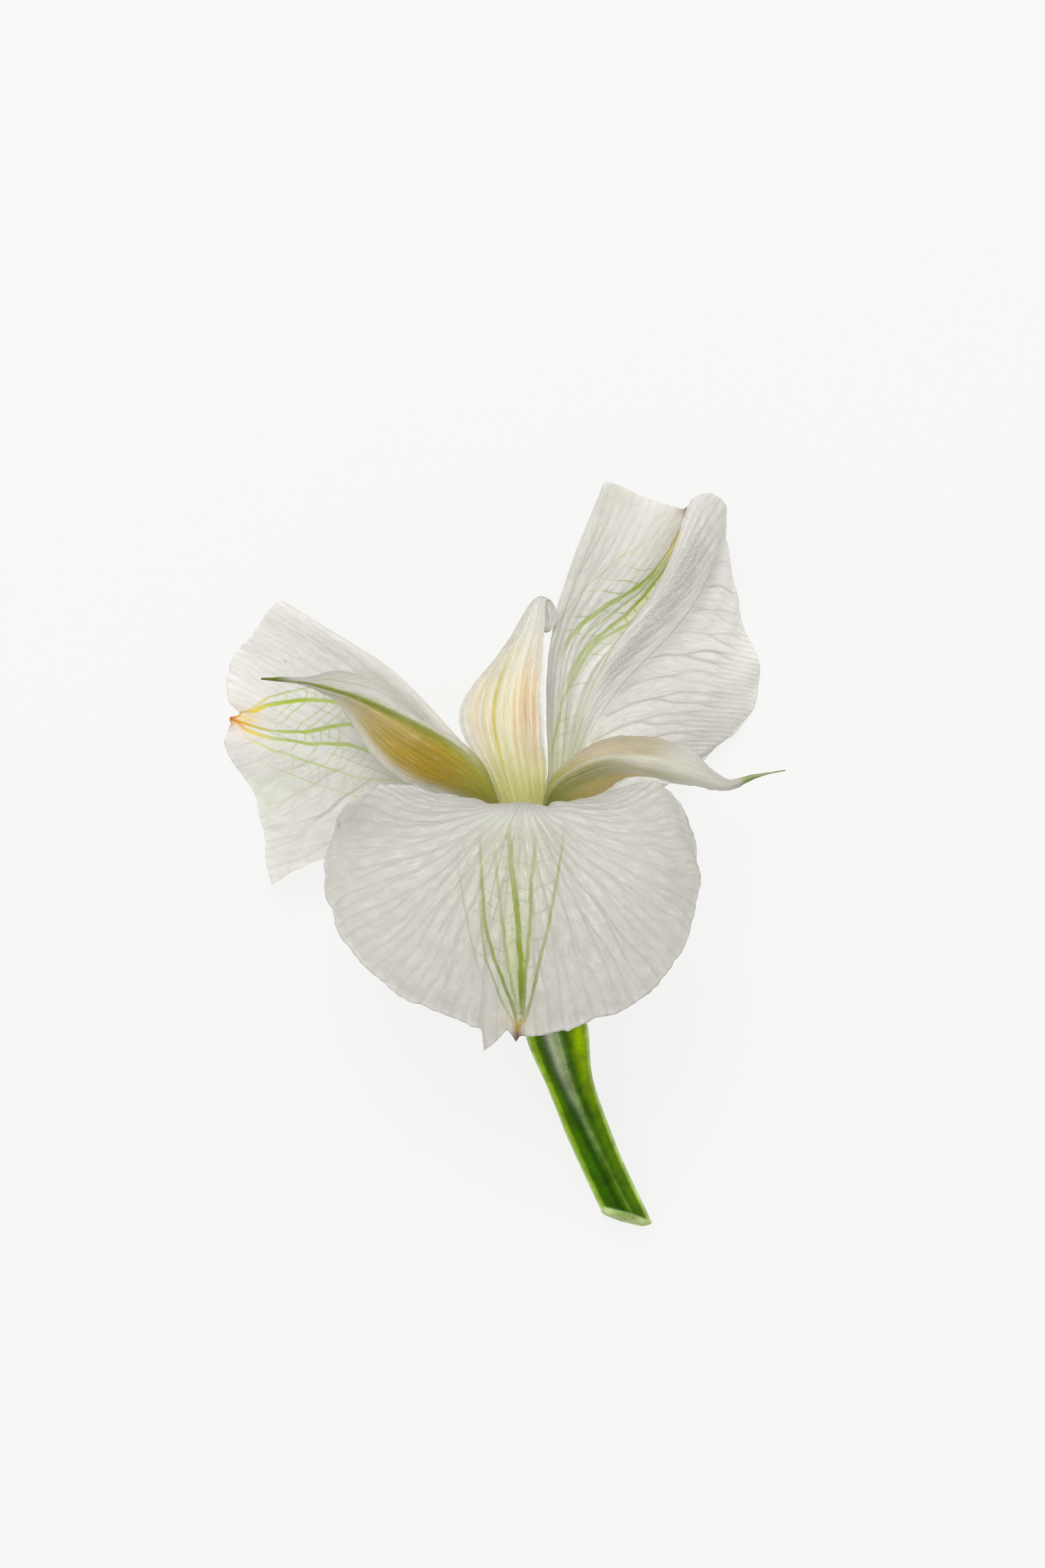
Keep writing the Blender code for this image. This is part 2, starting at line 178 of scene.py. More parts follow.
# the map has a half for each skin of a sheet
skinMap = {"size": (0.47, 0.96), "upperAt": (0.01, 0.02), "lowerAt": (0.52, 0.02)}


def sheetMesh(name, upper, lower, across, along):
    # the two skins of a thin sheet, joined round its edge
    rows, columns = upper.shape[:2]
    count = rows * columns
    index = np.arange(count).reshape(rows, columns)
    top = np.stack([index[:-1, :-1], index[:-1, 1:], index[1:, 1:], index[1:, :-1]], -1).reshape(-1, 4)
    rim = np.concatenate([index[0], index[1:, -1], index[-1, -2::-1], index[-2:0:-1, 0]])
    after = np.roll(rim, -1)
    side = np.stack([after, rim, rim + count, after + count], -1)
    faces = np.concatenate([top, top[:, ::-1] + count, side])
    points = np.concatenate([upper.reshape(-1, 3), lower.reshape(-1, 3)])
    mesh = bpy.data.meshes.new(name)
    mesh.from_pydata(points.tolist(), [], faces.tolist())
    flat = np.stack([across.ravel(), along.ravel()], -1) * skinMap["size"]
    places = np.concatenate([flat + skinMap["upperAt"], flat + skinMap["lowerAt"]])
    uvMap = mesh.uv_layers.new(name="OFBake")
    uvMap.uv.foreach_set("vector", places[faces.ravel()].astype(np.float32).ravel())
    return mesh


def tubeGrid(spine, radii, sides, reachAt=None):
    # rings of points along a spine, each across it and level from side to side
    tangents = np.gradient(spine, axis=0)
    tangents /= np.linalg.norm(tangents, axis=1)[:, None]
    side = np.cross(tangents, (0.0, 0.0, 1.0))
    side /= np.linalg.norm(side, axis=1)[:, None]
    up = np.cross(side, tangents)
    angles = np.linspace(0.0, math.tau, sides, endpoint=False)
    reach = np.asarray(radii)[:, None] * (reachAt(angles[None]) if reachAt else np.ones(sides))
    ring = np.cos(angles)[None, :, None] * side[:, None] - np.sin(angles)[None, :, None] * up[:, None]
    return spine[:, None] + reach[..., None] * ring


def tubeMesh(name, grid):
    rows, columns = grid.shape[:2]
    index = np.arange(rows * columns).reshape(rows, columns)
    after = np.roll(index, -1, axis=1)
    faces = np.stack([index[:-1], after[:-1], after[1:], index[1:]], -1).reshape(-1, 4).tolist()
    faces += [index[0, ::-1].tolist(), index[-1].tolist()]
    mesh = bpy.data.meshes.new(name)
    mesh.from_pydata(grid.reshape(-1, 3).tolist(), [], faces)
    return mesh


# shader nodes

def newMaterial(name):
    material = bpy.data.materials.new(name)
    material.use_nodes = True
    material.node_tree.nodes.clear()
    return material, material.node_tree


def place(tree, kind, inputs=None, **settings):
    # a node with its settings, and each input either linked from a socket or given a value
    node = tree.nodes.new(kind)
    for key, value in settings.items():
        setattr(node, key, value)
    for key, value in (inputs or {}).items():
        if isinstance(value, bpy.types.NodeSocket):
            tree.links.new(value, node.inputs[key])
        else:
            node.inputs[key].default_value = value
    return node


def showSurface(tree, shader):
    place(tree, "ShaderNodeOutputMaterial", {"Surface": shader.outputs[0]})


def maths(tree, operation, *values):
    return place(tree, "ShaderNodeMath", dict(enumerate(values)), operation=operation).outputs[0]


def times(tree, first, second):
    return maths(tree, "MULTIPLY", first, second)


def ramp(tree, value, low, high, bottom=0.0, top=1.0):
    inputs = {"Value": value, "From Min": low, "From Max": high, "To Min": bottom, "To Max": top}
    return place(tree, "ShaderNodeMapRange", inputs, interpolation_type="SMOOTHSTEP").outputs["Result"]


def mixColours(tree, amount, first, second, blend="MIX"):
    # sockets 6 and 7 are the two colours
    inputs = {0: amount, 6: first, 7: second}
    return place(tree, "ShaderNodeMix", inputs, data_type="RGBA", blend_type=blend).outputs[2]


def mixShaders(tree, amount, first, second):
    return place(tree, "ShaderNodeMixShader", {0: amount, 1: first.outputs[0], 2: second.outputs[0]})


def noise(tree, where, scale, detail, roughness):
    inputs = {"Vector": where, "Scale": scale, "Detail": detail, "Roughness": roughness}
    return place(tree, "ShaderNodeTexNoise", inputs).outputs["Fac"]


def bump(tree, height):
    # the height is in millimetres
    return place(tree, "ShaderNodeBump", {"Height": height, "Strength": 1.0, "Distance": mm}).outputs[0]


def readVector(tree, name):
    # the three numbers that writeVectors gave each point
    node = place(tree, "ShaderNodeAttribute", attribute_name=name)
    return place(tree, "ShaderNodeSeparateXYZ", {0: node.outputs["Vector"]}).outputs


def readColour(tree, name):
    return place(tree, "ShaderNodeAttribute", attribute_name=name).outputs["Color"]


def tepalMaterial(look):
    material, tree = newMaterial(look["name"])
    where = place(tree, "ShaderNodeTexCoord").outputs["Object"]
    fan, width, forkOne = readVector(tree, "fan")
    forkTwo, fanAmount, sparkle = readVector(tree, "fork")
    main, mainHalf, mainAmount = readVector(tree, "mainVein")
    link, linkAmount, length = readVector(tree, "link")
    patchy = noise(tree, where, look["patchScale"], 4.0, 0.6)
    fine = noise(tree, where, look["fineScale"], 5.0, 0.65)

    def ragged(value, amount):
        # the edge of a vein is never quite straight
        return maths(tree, "ADD", value, ramp(tree, fine, 0.3, 0.7, -amount, amount))

    def drawnOut(across, along):
        # places on the sheet for a pattern of long cells that run with the veins
        sides = {0: times(tree, fan, look[across]), 1: times(tree, length, look[along])}
        return place(tree, "ShaderNodeCombineXYZ", sides).outputs[0]

    # fan veins that fork twice on their way to the margin
    away = maths(tree, "FRACT", fan)
    for fork in (0.5, forkOne, forkTwo):
        away = maths(tree, "ABSOLUTE", maths(tree, "SUBTRACT", away, fork))
    away = ragged(times(tree, away, width), 0.04)
    fanLine = ramp(tree, away, look["fanHalf"], look["fanHalf"] + look["fanSoft"], 1.0, 0.0)
    fanLine = times(tree, fanLine, ramp(tree, patchy, 0.3, 0.62, 0.55, 1.0))
    fanLine = times(tree, fanLine, fanAmount)

    # a finer net of long cells between the veins
    cells = {"Vector": drawnOut("netAcross", "netAlong"), "Scale": 1.0}
    cells = place(tree, "ShaderNodeTexVoronoi", cells, feature="DISTANCE_TO_EDGE", voronoi_dimensions="2D")
    net = ramp(tree, cells.outputs["Distance"], 0.01, 0.16, look["netStrength"], 0.0)
    fanLine = maths(tree, "MAXIMUM", fanLine, times(tree, net, fanAmount))

    # coloured main veins with cross links
    gap = ragged(maths(tree, "SUBTRACT", maths(tree, "ABSOLUTE", main), mainHalf), 0.02)
    mainLine = times(tree, ramp(tree, gap, -0.06, look["mainSoft"], 1.0, 0.0), mainAmount)
    mainLine = times(tree, mainLine, ramp(tree, patchy, 0.3, 0.65, 0.72, 1.0))
    linkGap = ragged(maths(tree, "ABSOLUTE", link), 0.04)
    linkLine = times(tree, ramp(tree, linkGap, 0.03, 0.20, 1.0, 0.0), linkAmount)
    veinLine = maths(tree, "MAXIMUM", mainLine, linkLine)

    # the tint, which also holds painted shade and painted highlights, with streaks and painted glints (white
    # flecks of light off glossy cells) drawn out along the veins
    streak = noise(tree, drawnOut("streakAcross", "streakAlong"), 1.0, 4.0, 0.62)
    glint = times(tree, ramp(tree, streak, 0.54, 0.64), maths(tree, "MULTIPLY_ADD", sparkle, 2.0, fanAmount))
    glint = maths(tree, "MINIMUM", times(tree, glint, look["glint"]), 1.0)
    patches = ramp(tree, patchy, 0.25, 0.75, look["patchDark"], 1.0)
    shade = times(tree, patches, ramp(tree, streak, 0.32, 0.6, look["streakDark"], 1.0))
    body = mixColours(tree, 1.0, readColour(tree, "tintAndPaintedLight"), shade, "MULTIPLY")
    body = mixColours(tree, glint, body, look["glintColour"])
    body = mixColours(tree, times(tree, fanLine, look["fanStrength"]), body, look["fanColour"])
    body = mixColours(tree, veinLine, body, readColour(tree, "mainColour"))

    # tiny grains along the folds, washed grey, with painted glints on them where the sparkle mask is
    grains = noise(tree, where, look["grainScale"], 2.0, 0.5)
    glintZone = ramp(tree, sparkle, 0.35, 0.9)
    grain = times(tree, ramp(tree, grains, 0.55, 0.66), glintZone)
    body = mixColours(tree, times(tree, glintZone, look["grainShade"]), body, look["fanColour"])
    body = mixColours(tree, times(tree, grain, look["grainBright"]), body, look["glintColour"])

    # the skin: sunken veins, and slightly raised cells between them
    relief = times(tree, fanLine, -look["fanGroove"])
    relief = maths(tree, "SUBTRACT", relief, times(tree, veinLine, look["mainGroove"]))
    raised = (fine, "skinRelief"), (streak, "streakRelief"), (times(tree, grains, glintZone), "grainRelief")
    for cell, height in raised:
        relief = maths(tree, "ADD", relief, times(tree, cell, look[height]))
    skin = bump(tree, relief)

    surface = place(tree, "ShaderNodeBsdfPrincipled", {
        "Base Color": body,
        "Roughness": ramp(tree, fine, 0.3, 0.7, *look["rough"]),
        "Normal": skin,
        "Specular IOR Level": look["gloss"],
        "Sheen Weight": look["sheen"],
        "Sheen Roughness": 0.5,
    })
    # light that comes through the sheet
    through = mixColours(tree, 1.0, body, look["throughTint"], "MULTIPLY")
    glow = place(tree, "ShaderNodeBsdfTranslucent", {"Color": through, "Normal": skin})
    showSurface(tree, mixShaders(tree, look["through"], surface, glow))
    return material


whiteTepalLook = {
    "name": "whiteTepal",
    "patchScale": 260.0,
    "fineScale": 1900.0,
    "patchDark": 0.95,
    "netAcross": 3.2,
    "netAlong": 0.42,
    "netStrength": 0.3,
    "grainScale": 5200.0,
    "grainShade": 0.3,
    "grainBright": 0.6,
    "grainRelief": 0.2,
    "streakAcross": 7.0,
    "streakAlong": 0.55,
    "streakDark": 0.93,
    "streakRelief": 0.10,
    "glint": 0.27,
    "glintColour": (0.93, 0.92, 0.89, 1.0),
    "fanHalf": 0.04,
    "fanSoft": 0.26,
    "fanStrength": 0.84,
    "fanColour": (0.46, 0.445, 0.39, 1.0),
    "mainSoft": 0.18,
    "fanGroove": 0.05,
    "mainGroove": 0.07,
    "skinRelief": 0.05,
    "rough": (0.42, 0.62),
    "gloss": 0.45,
    "sheen": 0.12,
    "through": 0.34,
    "throughTint": (1.0, 0.99, 0.95, 1.0),
}

innerTepalLook = {
    **whiteTepalLook,
    "name": "flushedInnerTepal",
    "fanColour": (0.55, 0.47, 0.22, 1.0),
    "fanStrength": 0.22,
    "glint": 0.22,
    "glintColour": (0.96, 0.95, 0.90, 1.0),
    "streakAcross": 16.0,
    "streakDark": 0.90,
    "netStrength": 0.12,
    "patchDark": 0.92,
    "through": 0.4,
    "sheen": 0.0,
    "gloss": 0.22,
}


# the tepals

white = np.array((0.90, 0.885, 0.85))
chalk = (0.92, 0.91, 0.88)
waveSpan = 60.0  # waves are counted over this many millimetres


def coats(shape, base, *layers):
    # colours laid one over the other, each with how much of it goes on at each point
    colours = np.broadcast_to(base, shape)
    for colour, amount in layers:
        amount = np.clip(amount, 0.0, 1.0)[..., None]
        colours = colours * (1.0 - amount) + np.array(colour) * amount
    return colours


def spot(points, x, y, wide, tall=None, turn=0.0):
    # a soft oval patch on the flower, as seen from above, in millimetres
    dx, dy = points[..., 0] - x, points[..., 1] - y
    cosine, sine = math.cos(math.radians(turn)), math.sin(math.radians(turn))
    a, b = (cosine * dx + sine * dy) / wide, (cosine * dy - sine * dx) / (tall or wide)
    return np.exp(-(a * a + b * b))


def layOut(tepal):
    # the fine middle sheet of a tepal, with the lengths that its veins, relief and colours are set by
    rows = tepalRows(tepal)
    across, along = tepal["grid"]
    line = np.interp(np.linspace(0, 1, along + 1), *tepal["rowsAt"])
    u, v = np.meshgrid(np.linspace(0, 1, across + 1), line)
    flatWidth = lengthsAlong(surfaceAt(rows, u[-1:], np.full_like(u[-1:], 0.98)), 1)[0]
    # the outline and the tear stretch or shorten the last rows, and a light wave runs up both sides
    outer = v + tepal["outline"](u[0], flatWidth)[None] * smooth(tepal["outlineFrom"], 1.0, v)
    outer = outer + tepal["tear"](u[0])[None] * smooth(tepal["tearFrom"], 1.0, v)
    sway = tepal["sideWave"] * wander(v, tepal["seed"] + 5, *tepal["sideWaves"])
    sway = sway * smooth(*tepal["sideFrom"], v) * tepal["calm"](u)
    side = u + sway * (np.exp(-u / tepal["sideReach"]) - np.exp(-(1.0 - u) / tepal["sideReach"]))
    points = surfaceAt(rows, side, outer)
    width = lengthsAlong(points, 1)
    length = lengthsAlong(points, 0)
    midrib = np.array([np.interp(tepal["middle"], *row) for row in zip(side, width)])
    toTip = length[-1] - length
    # how far it is to the margin, and how far round the margin the nearest place is:
    # up the first side, across the tip and down the other side
    toMargin = np.stack([width, toTip, width[:, -1:] - width])
    around = (length - length[-1], np.broadcast_to(width[-1], width.shape), width[-1, -1] + toTip)
    return {
        "points": points,
        "u": side,
        "v": outer,
        "across": u,
        "along": v,
        "side": width - midrib[:, None],
        "width": width,
        "length": length,
        "edge": toMargin.min(axis=0),
        "around": np.choose(toMargin.argmin(axis=0), around),
    }


def streaks(field, seed, across, along):
    # uneven lengthwise brush marks, 0 to 1
    return smooth(-0.4, 0.7, wanderOver(across * field["u"], along * field["v"], seed, 0.9, 3.2))


def normalsOf(points):
    normals = np.cross(np.gradient(points, axis=1), np.gradient(points, axis=0))
    return normals / np.maximum(np.linalg.norm(normals, axis=-1, keepdims=True), 1e-9)


def widthPerUnit(points, s):
    # millimetres for each unit of s, measured square to its lines
    a, b = np.gradient(points, axis=1), np.gradient(points, axis=0)
    sa, sb = np.gradient(s, axis=1), np.gradient(s, axis=0)
    aa, ab, bb = (a * a).sum(-1), (a * b).sum(-1), (b * b).sum(-1)
    steep = (bb * sa**2 - 2.0 * ab * sa * sb + aa * sb**2) / np.maximum(aa * bb - ab**2, 1e-9)
    return 1.0 / np.sqrt(np.maximum(steep, 1e-4))


splayKnots = (0.33, 0.5, 0.67, 0.83, 1.0)


def spreadOut(tepal, field):
    # the place of each vein across the tepal, and how far it has run, from 0 to 1
    u, v = field["u"], field["v"]
    share = field["width"] / field["width"][:, -1:]
    broadest = share[int(0.8 * len(share))]
    even = np.broadcast_to(0.5 * (broadest + share[-1]), u.shape)
    heart = np.interp(tepal["middle"], u[-1], even[-1])
    gathered = np.where(even < heart, *(np.interp(v, splayKnots, values) for values in tepal["splay"]))
    return tepal["fan"] * (heart + (even - heart) / gathered), v


def offKeel(points, start, end, leans, spacing, reach):
    # veins that leave a keel line, bend out to the margin to the right of it and fork on the way
    along = np.subtract(end, start) / math.dist(start, end)
    x, y = points[..., 0] - start[0], points[..., 1] - start[1]
    run = x * along[0] + y * along[1]
    out = np.maximum(x * along[1] - y * along[0], 0.0)
    lean = np.interp(run, (0.0, 15.0, 30.0), leans)
    return (run - lean * out - 2.0 * (1.0 - np.exp(-out / 2.0))) / spacing, 0.2 + 0.8 * out / reach


def fanVeins(tepal, field):
    # the fan veins bend out to the sides as they run to the margin, and each forks twice
    seed = tepal["seed"]
    first, second = tepal["forks"]
    s, run = tepal["course"](tepal, field)
    s = s + tepal["fanWander"] * wanderOver(3.0 * field["u"], 2.0 * field["v"], seed, 0.8, 4.0)
    cell = np.floor(s).astype(int)
    cell -= cell.min()
    luck = np.random.default_rng(seed + 1).uniform(-1, 1, (cell.max() + 1, 3))[cell]
    # a vein parts into two a quarter of the spacing to each side, and these part by an eighth
    firstAt = first + 0.07 * luck[..., 0]
    secondAt = second + 0.05 * luck[..., 1]
    forkOne = 0.25 * smooth(firstAt, firstAt + 0.2, run)
    forkTwo = 0.125 * smooth(secondAt, secondAt + 0.18, run)
    width = np.minimum(widthPerUnit(field["points"], s), 6.0)
    uneven = 0.82 + 0.18 * wanderOver(1.6 * s, 0.5 * field["length"] / 10.0, seed + 6, 0.7, 2.2)
    amount = uneven * (0.8 + 0.2 * luck[..., 2]) * tepal["fanAmount"](field)
    return {
        "s": s,
        "width": width,
        "one": forkOne,
        "two": forkTwo,
        "amount": np.clip(amount, 0, 1),
        "away": np.abs(np.abs(np.abs(s - np.floor(s) - 0.5) - forkOne) - forkTwo) * width,
    }


def mainVeins(tepal, field):
    # the coloured veins draw together to the tip: each has its distances from the midrib at the
    # knots, its half width, its strength, and where it begins and ends
    v, length, seed, rate = field["v"], field["length"], tepal["seed"], tepal["linkLength"]
    across = field["side"]
    across = across + 0.09 * wanderOver(field["side"] / 5.0, length / 5.0, seed + 2, 0.6, 2.4)
    across = across + 0.035 * wanderOver(field["side"] / 2.0, length / 2.0, seed + 12, 1.0, 3.0)
    veins = tepal["mainVeins"]
    paths = np.stack([np.interp(v, tepal["mainKnots"], vein[0]) for vein in veins], -1)
    gaps = across[..., None] - paths
    nearest = np.abs(gaps).argmin(axis=-1)
    half, strength, begin, end = [np.array([vein[k] for vein in veins])[nearest] for k in (1, 2, 3, 4)]
    passed = (gaps > 0).sum(axis=-1)
    away = np.take_along_axis(np.abs(gaps), nearest[..., None], -1)[..., 0]
    fade = smooth(begin - 0.05, begin + 0.06, v) * fall(end - 0.06, end + 0.04, v)
    fade = fade * (0.62 + 0.38 * smooth(0.62, 0.84, v))
    # cross links, like the rungs of a ladder between neighbours
    between = (passed > 0) & (passed < len(veins))
    lean = np.choose(passed % 4, (0.45, -0.35, 0.2, -0.5))
    sway = 0.06 * wanderOver(field["side"] / 5.0, length / 5.0, seed + 4, 1.0, 3.0)
    phase = length / rate + 0.37 * passed + lean * across / rate + sway
    # each rung has a number of its own, and chance leaves some of them out
    luck = np.random.default_rng(seed + 3).random(4000)
    rungNumber = np.floor(2.0 * phase + 0.5).astype(int) * 7 + passed * 131
    found = luck[rungNumber % len(luck)] < tepal["linkShare"]
    return {
        "signed": away * np.where(passed % 2, -1.0, 1.0),
        "half": half,
        "amount": strength * fade,
        "rung": np.arcsin(np.sin(math.tau * phase)) / math.tau * rate,
        "rungAmount": between * found * fade * strength * tepal["linkAmount"] * fall(0.84, 0.92, v),
    }


def shapeSheet(tepal, field, fan, main):
    # ruffles and fine crimps near the margin, pleats between the fan veins, grooves along all veins
    edge, around, seed = field["edge"], field["around"] / waveSpan, tepal["seed"]
    across, along = field["side"] / waveSpan, field["length"] / waveSpan
    ruffle = wander(around, seed + 7, *tepal["ruffleWaves"]) * np.exp(-edge / tepal["ruffleReach"])
    crimp = wander(around, seed + 8, *tepal["crimpWaves"]) * np.exp(-edge / tepal["crimpReach"])
    lift = (tepal["ruffle"] * ruffle + tepal["crimp"] * crimp) * tepal["calm"](field["u"])
    lift += tepal["pleat"] * np.cos(math.tau * fan["s"]) * smooth(0.3, 3.0, fan["width"]) * fan["amount"]
    lift -= tepal["groove"] * fan["amount"] * bell(fan["away"], 0.0, tepal["grooveHalf"])
    lift -= tepal["mainGroove"] * main["amount"] * bell(main["signed"], 0.0, tepal["mainGrooveHalf"])
    lift += tepal["wave"] * wanderOver(across, along, seed + 9, *tepal["waves"])
    lift *= smooth(*tepal["bladeFrom"], field["v"])
    points = field["points"] + normalsOf(field["points"]) * lift[..., None]
    # the cusp is drawn in to the keel
    keel = points[:, [points.shape[1] // 2]]
    first, last, share = tepal["pinch"]
    return points + (keel - points) * (share * smooth(first, last, field["v"]))[..., None]


def thicknessOf(tepal, field, main):
    thick = tepal["thin"] + (tepal["thick"] - tepal["thin"]) * smooth(0.0, tepal["taper"], field["edge"])
    thick = thick + tepal["midribThick"] * bell(main["signed"], 0.0, tepal["midribHalf"]) * main["amount"]
    return thick * tepal["fullness"](field["u"])


def makeTepal(name, node, tepal, material, slot):
    field = layOut(tepal)
    fan, main = fanVeins(tepal, field), mainVeins(tepal, field)
    field["points"] = points = shapeSheet(tepal, field, fan, main)
    shift = normalsOf(points) * (0.5 * thicknessOf(tepal, field, main))[..., None]
    mesh = sheetMesh(name, seated(points + shift), seated(points - shift), field["across"], field["along"])
    # the count of the fan veins is kept well above zero
    writeVectors(mesh, "fan", (fan["s"] + 100.0, fan["width"], fan["one"]), skins=2)
    writeVectors(mesh, "fork", (fan["two"], fan["amount"], tepal["sparkle"](field)), skins=2)
    writeVectors(mesh, "mainVein", (main["signed"], main["half"], main["amount"]), skins=2)
    writeVectors(mesh, "link", (main["rung"], main["rungAmount"], field["length"]), skins=2)
    # each tepal's tint, together with its painted shade and painted highlights
    tintAndPaintedLight, veinColour = tepal["colours"](field)
    writeColours(mesh, "tintAndPaintedLight", tintAndPaintedLight, skins=2)
    writeColours(mesh, "mainColour", veinColour, skins=2)
    addPiece(name, mesh, material, slot, node)


def scallops(flatWidth, seed, big, small):
    # the uneven margin: long shallow lobes and fine notches, in shares of the blade's length
    at = flatWidth / waveSpan
    return big * wander(at, seed, 5.0, 12.0) + small * wander(at, seed + 1, 24.0, 55.0)


def roundCorners(u, share, first, last):
    return -first * np.clip(1.0 - u / share, 0, 1) ** 2 - last * np.clip(1.0 - (1.0 - u) / share, 0, 1) ** 2


# the front tepal, folded over the throat

def frontOutline(u, flatWidth):
    # round corners and the point in the middle
    edge = scallops(flatWidth, 11, 0.004, 0.0018) + roundCorners(u, 0.07, 0.05, 0.05)
    return edge * (1.0 - bell(u, 0.53, 0.035))


def frontTear(u):
    # the torn flap beside the point
    torn = np.interp(u, (0.508, 0.516, 0.533, 0.5575, 0.5605, 0.58), (0.0, -0.008, 0.014, 0.042, -0.004, 0.0))
    return torn + 0.014 * bell(u, 0.4995, 0.005)


def frontFanAmount(field):
    v = field["v"]
    return (1.0 - 0.45 * smooth(0.70, 1.0, v)) * (0.45 + 0.55 * smooth(0.52, 0.62, v))


def frontSparkle(field):
    return 0.34 * smooth(0.5, 0.58, field["v"]) * spot(field["points"], -1.0, -1.5, 9.0, 5.5)


def frontColours(field):
    p, v, y = field["points"], field["v"], field["points"][..., 1]
    blade = smooth(0.5, 0.6, v)
    shadow = streaks(field, 71, 30.0, 1.1) * smooth(0.52, 0.62, v) * fall(0.68, 0.90, v)
    throat = 0.62 * spot(p, 1.2, -13.5, 1.5, 6.0) + 0.26 * spot(p, 0.9, -2.0, 4.2, 7.0)
    tintAndPaintedLight = coats(
        # a darker base than the other outer tepals: painted shade over the whole front tepal
        p.shape, white * (0.735, 0.73, 0.71),
        ((0.50, 0.50, 0.46), 0.46 * shadow),
        ((0.70, 0.74, 0.40), 0.85 * fall(0.28, 0.50, v)),
        ((0.60, 0.66, 0.26), blade * throat),
        # painted highlight along the top of the fold
        ((0.88, 0.88, 0.84), blade * 0.5 * spot(p, 1.3, 4.4, 6.5, 1.8)),
        # painted shade on the upper left corner, where the blade rolls away
        ((0.46, 0.46, 0.43), blade * 0.55 * spot(p, -18.0, 4.5, 6.0, 3.0, -12.0)),
        ((0.88, 0.74, 0.60), blade * 0.35 * spot(p, 0.9, -19.4, 2.6, 1.7)),
        (chalk, 0.35 * np.exp(-field["edge"] / 0.4)),
        ((0.52, 0.30, 0.04), blade * 0.85 * spot(p, 1.4, -20.4, 0.45, 0.9)),
        ((0.09, 0.016, 0.006), blade * np.sqrt(spot(p, 1.25, -21.6, 0.5, 0.6))),
    )
    veins = coats(
        p.shape, (0.27, 0.33, 0.01),
        ((0.17, 0.24, 0.0), smooth(-12.0, -17.0, y)),
        ((0.44, 0.30, 0.01), smooth(-18.6, -20.0, y)),
        ((0.16, 0.035, 0.006), smooth(-20.4, -21.1, y)),
    )
    return tintAndPaintedLight, veins


# the left tepal, laid back, its upper margin rolled under

leftKeel = ((-2.0, 6.0), (-33.7, 16.1))


def leftOutline(u, flatWidth):
    # a notch beside the tip
    edge = scallops(flatWidth, 21, 0.005, 0.0020) + roundCorners(u, 0.08, 0.0, 0.07)
    return edge + 0.012 * bell(u, 0.5, 0.008) - 0.022 * bell(u, 0.528, 0.014)


def leftCourse(tepal, field):
    # above the midrib the veins keep to the rolled edge, below it they bend down to the lower lobe
    above, runAbove = spreadOut(tepal, field)
    mirrored = field["points"] * (1.0, -1.0, 1.0)
    (x0, y0), (x1, y1) = leftKeel
    below, runBelow = offKeel(mirrored, (x0, -y0), (x1, -y1), (0.30, 0.42, 1.0), 3.6, 16.0)
    isBelow = field["side"] < 0.0
    return np.where(isBelow, below, above), np.where(isBelow, runBelow, runAbove)


def leftFanAmount(field):
    upper = 0.45 + 0.55 * fall(0.52, 0.62, field["u"])
    return upper * (0.95 - 0.60 * smooth(0.76, 1.0, field["v"])) * smooth(0.3, 2.5, np.abs(field["side"]))


def leftSparkle(field):
    return 0.55 * bell(field["u"], 0.84, 0.05) * smooth(0.55, 0.7, field["v"])


def leftColours(field):
    p, x, u, v = field["points"], field["points"][..., 0], field["u"], field["v"]
    tintAndPaintedLight = coats(
        p.shape, white * 0.92,
        # painted shade: the half below the midrib greyed
        ((0.66, 0.65, 0.61), 0.55 * fall(0.34, 0.50, u)),
        ((0.72, 0.74, 0.48), 0.8 * fall(0.30, 0.52, v)),
        ((0.72, 0.78, 0.56), 0.35 * spot(p, -29.5, 7.0, 3.6, 2.2)),
        # painted shade along the rolled-under upper margin
        ((0.74, 0.70, 0.60), 0.35 * smooth(0.84, 0.96, u)),
        (chalk, 0.4 * np.exp(-field["edge"] / 0.5)),
        ((0.86, 0.70, 0.50), 0.4 * spot(p, -32.4, 16.0, 1.8, 1.6)),
        ((0.50, 0.11, 0.0), 0.97 * spot(p, -33.9, 16.1, 0.7, 0.9)),
        ((0.62, 0.34, 0.05), 0.8 * spot(p, -26.9, 23.1, 0.15)),
        ((0.93, 0.72, 0.12), 0.55 * spot(p, -32.0, 16.1, 1.7, 0.7)),
    )
    veins = coats(
        p.shape, (0.42, 0.55, 0.03),
        ((0.82, 0.64, 0.0), smooth(-27.5, -30.8, x)),
        ((0.84, 0.36, 0.0), smooth(-31.2, -33.0, x)),
        ((0.45, 0.09, 0.0), smooth(-33.0, -33.9, x)),
    )
    return tintAndPaintedLight, veins


# the right tepal, laid back, with a rolled ridge and a valley beside its midrib

rightMidrib = 4.0 / 14.0
rightValley = 0.605


def rightOutline(u, flatWidth):
    edge = scallops(flatWidth, 31, 0.003, 0.0010)
    edge = edge + roundCorners(u, 0.14, 0.045, 0.0) + roundCorners(u, 0.05, 0.0, 0.05)
    return edge + 0.022 * bell(u, rightMidrib, 0.008)


def rightCourse(tepal, field):
    # left of the ridge the veins keep to the rolled edge, right of it they bend over to the lobe
    left, runLeft = spreadOut(tepal, field)
    right, runRight = offKeel(field["points"], (9.4, 11.8), (25.8, 39.2), (1.05, 0.6, 0.0), 3.6, 12.0)
    isRight = field["u"] > rightValley
    return np.where(isRight, right, left), np.where(isRight, runRight, runLeft)


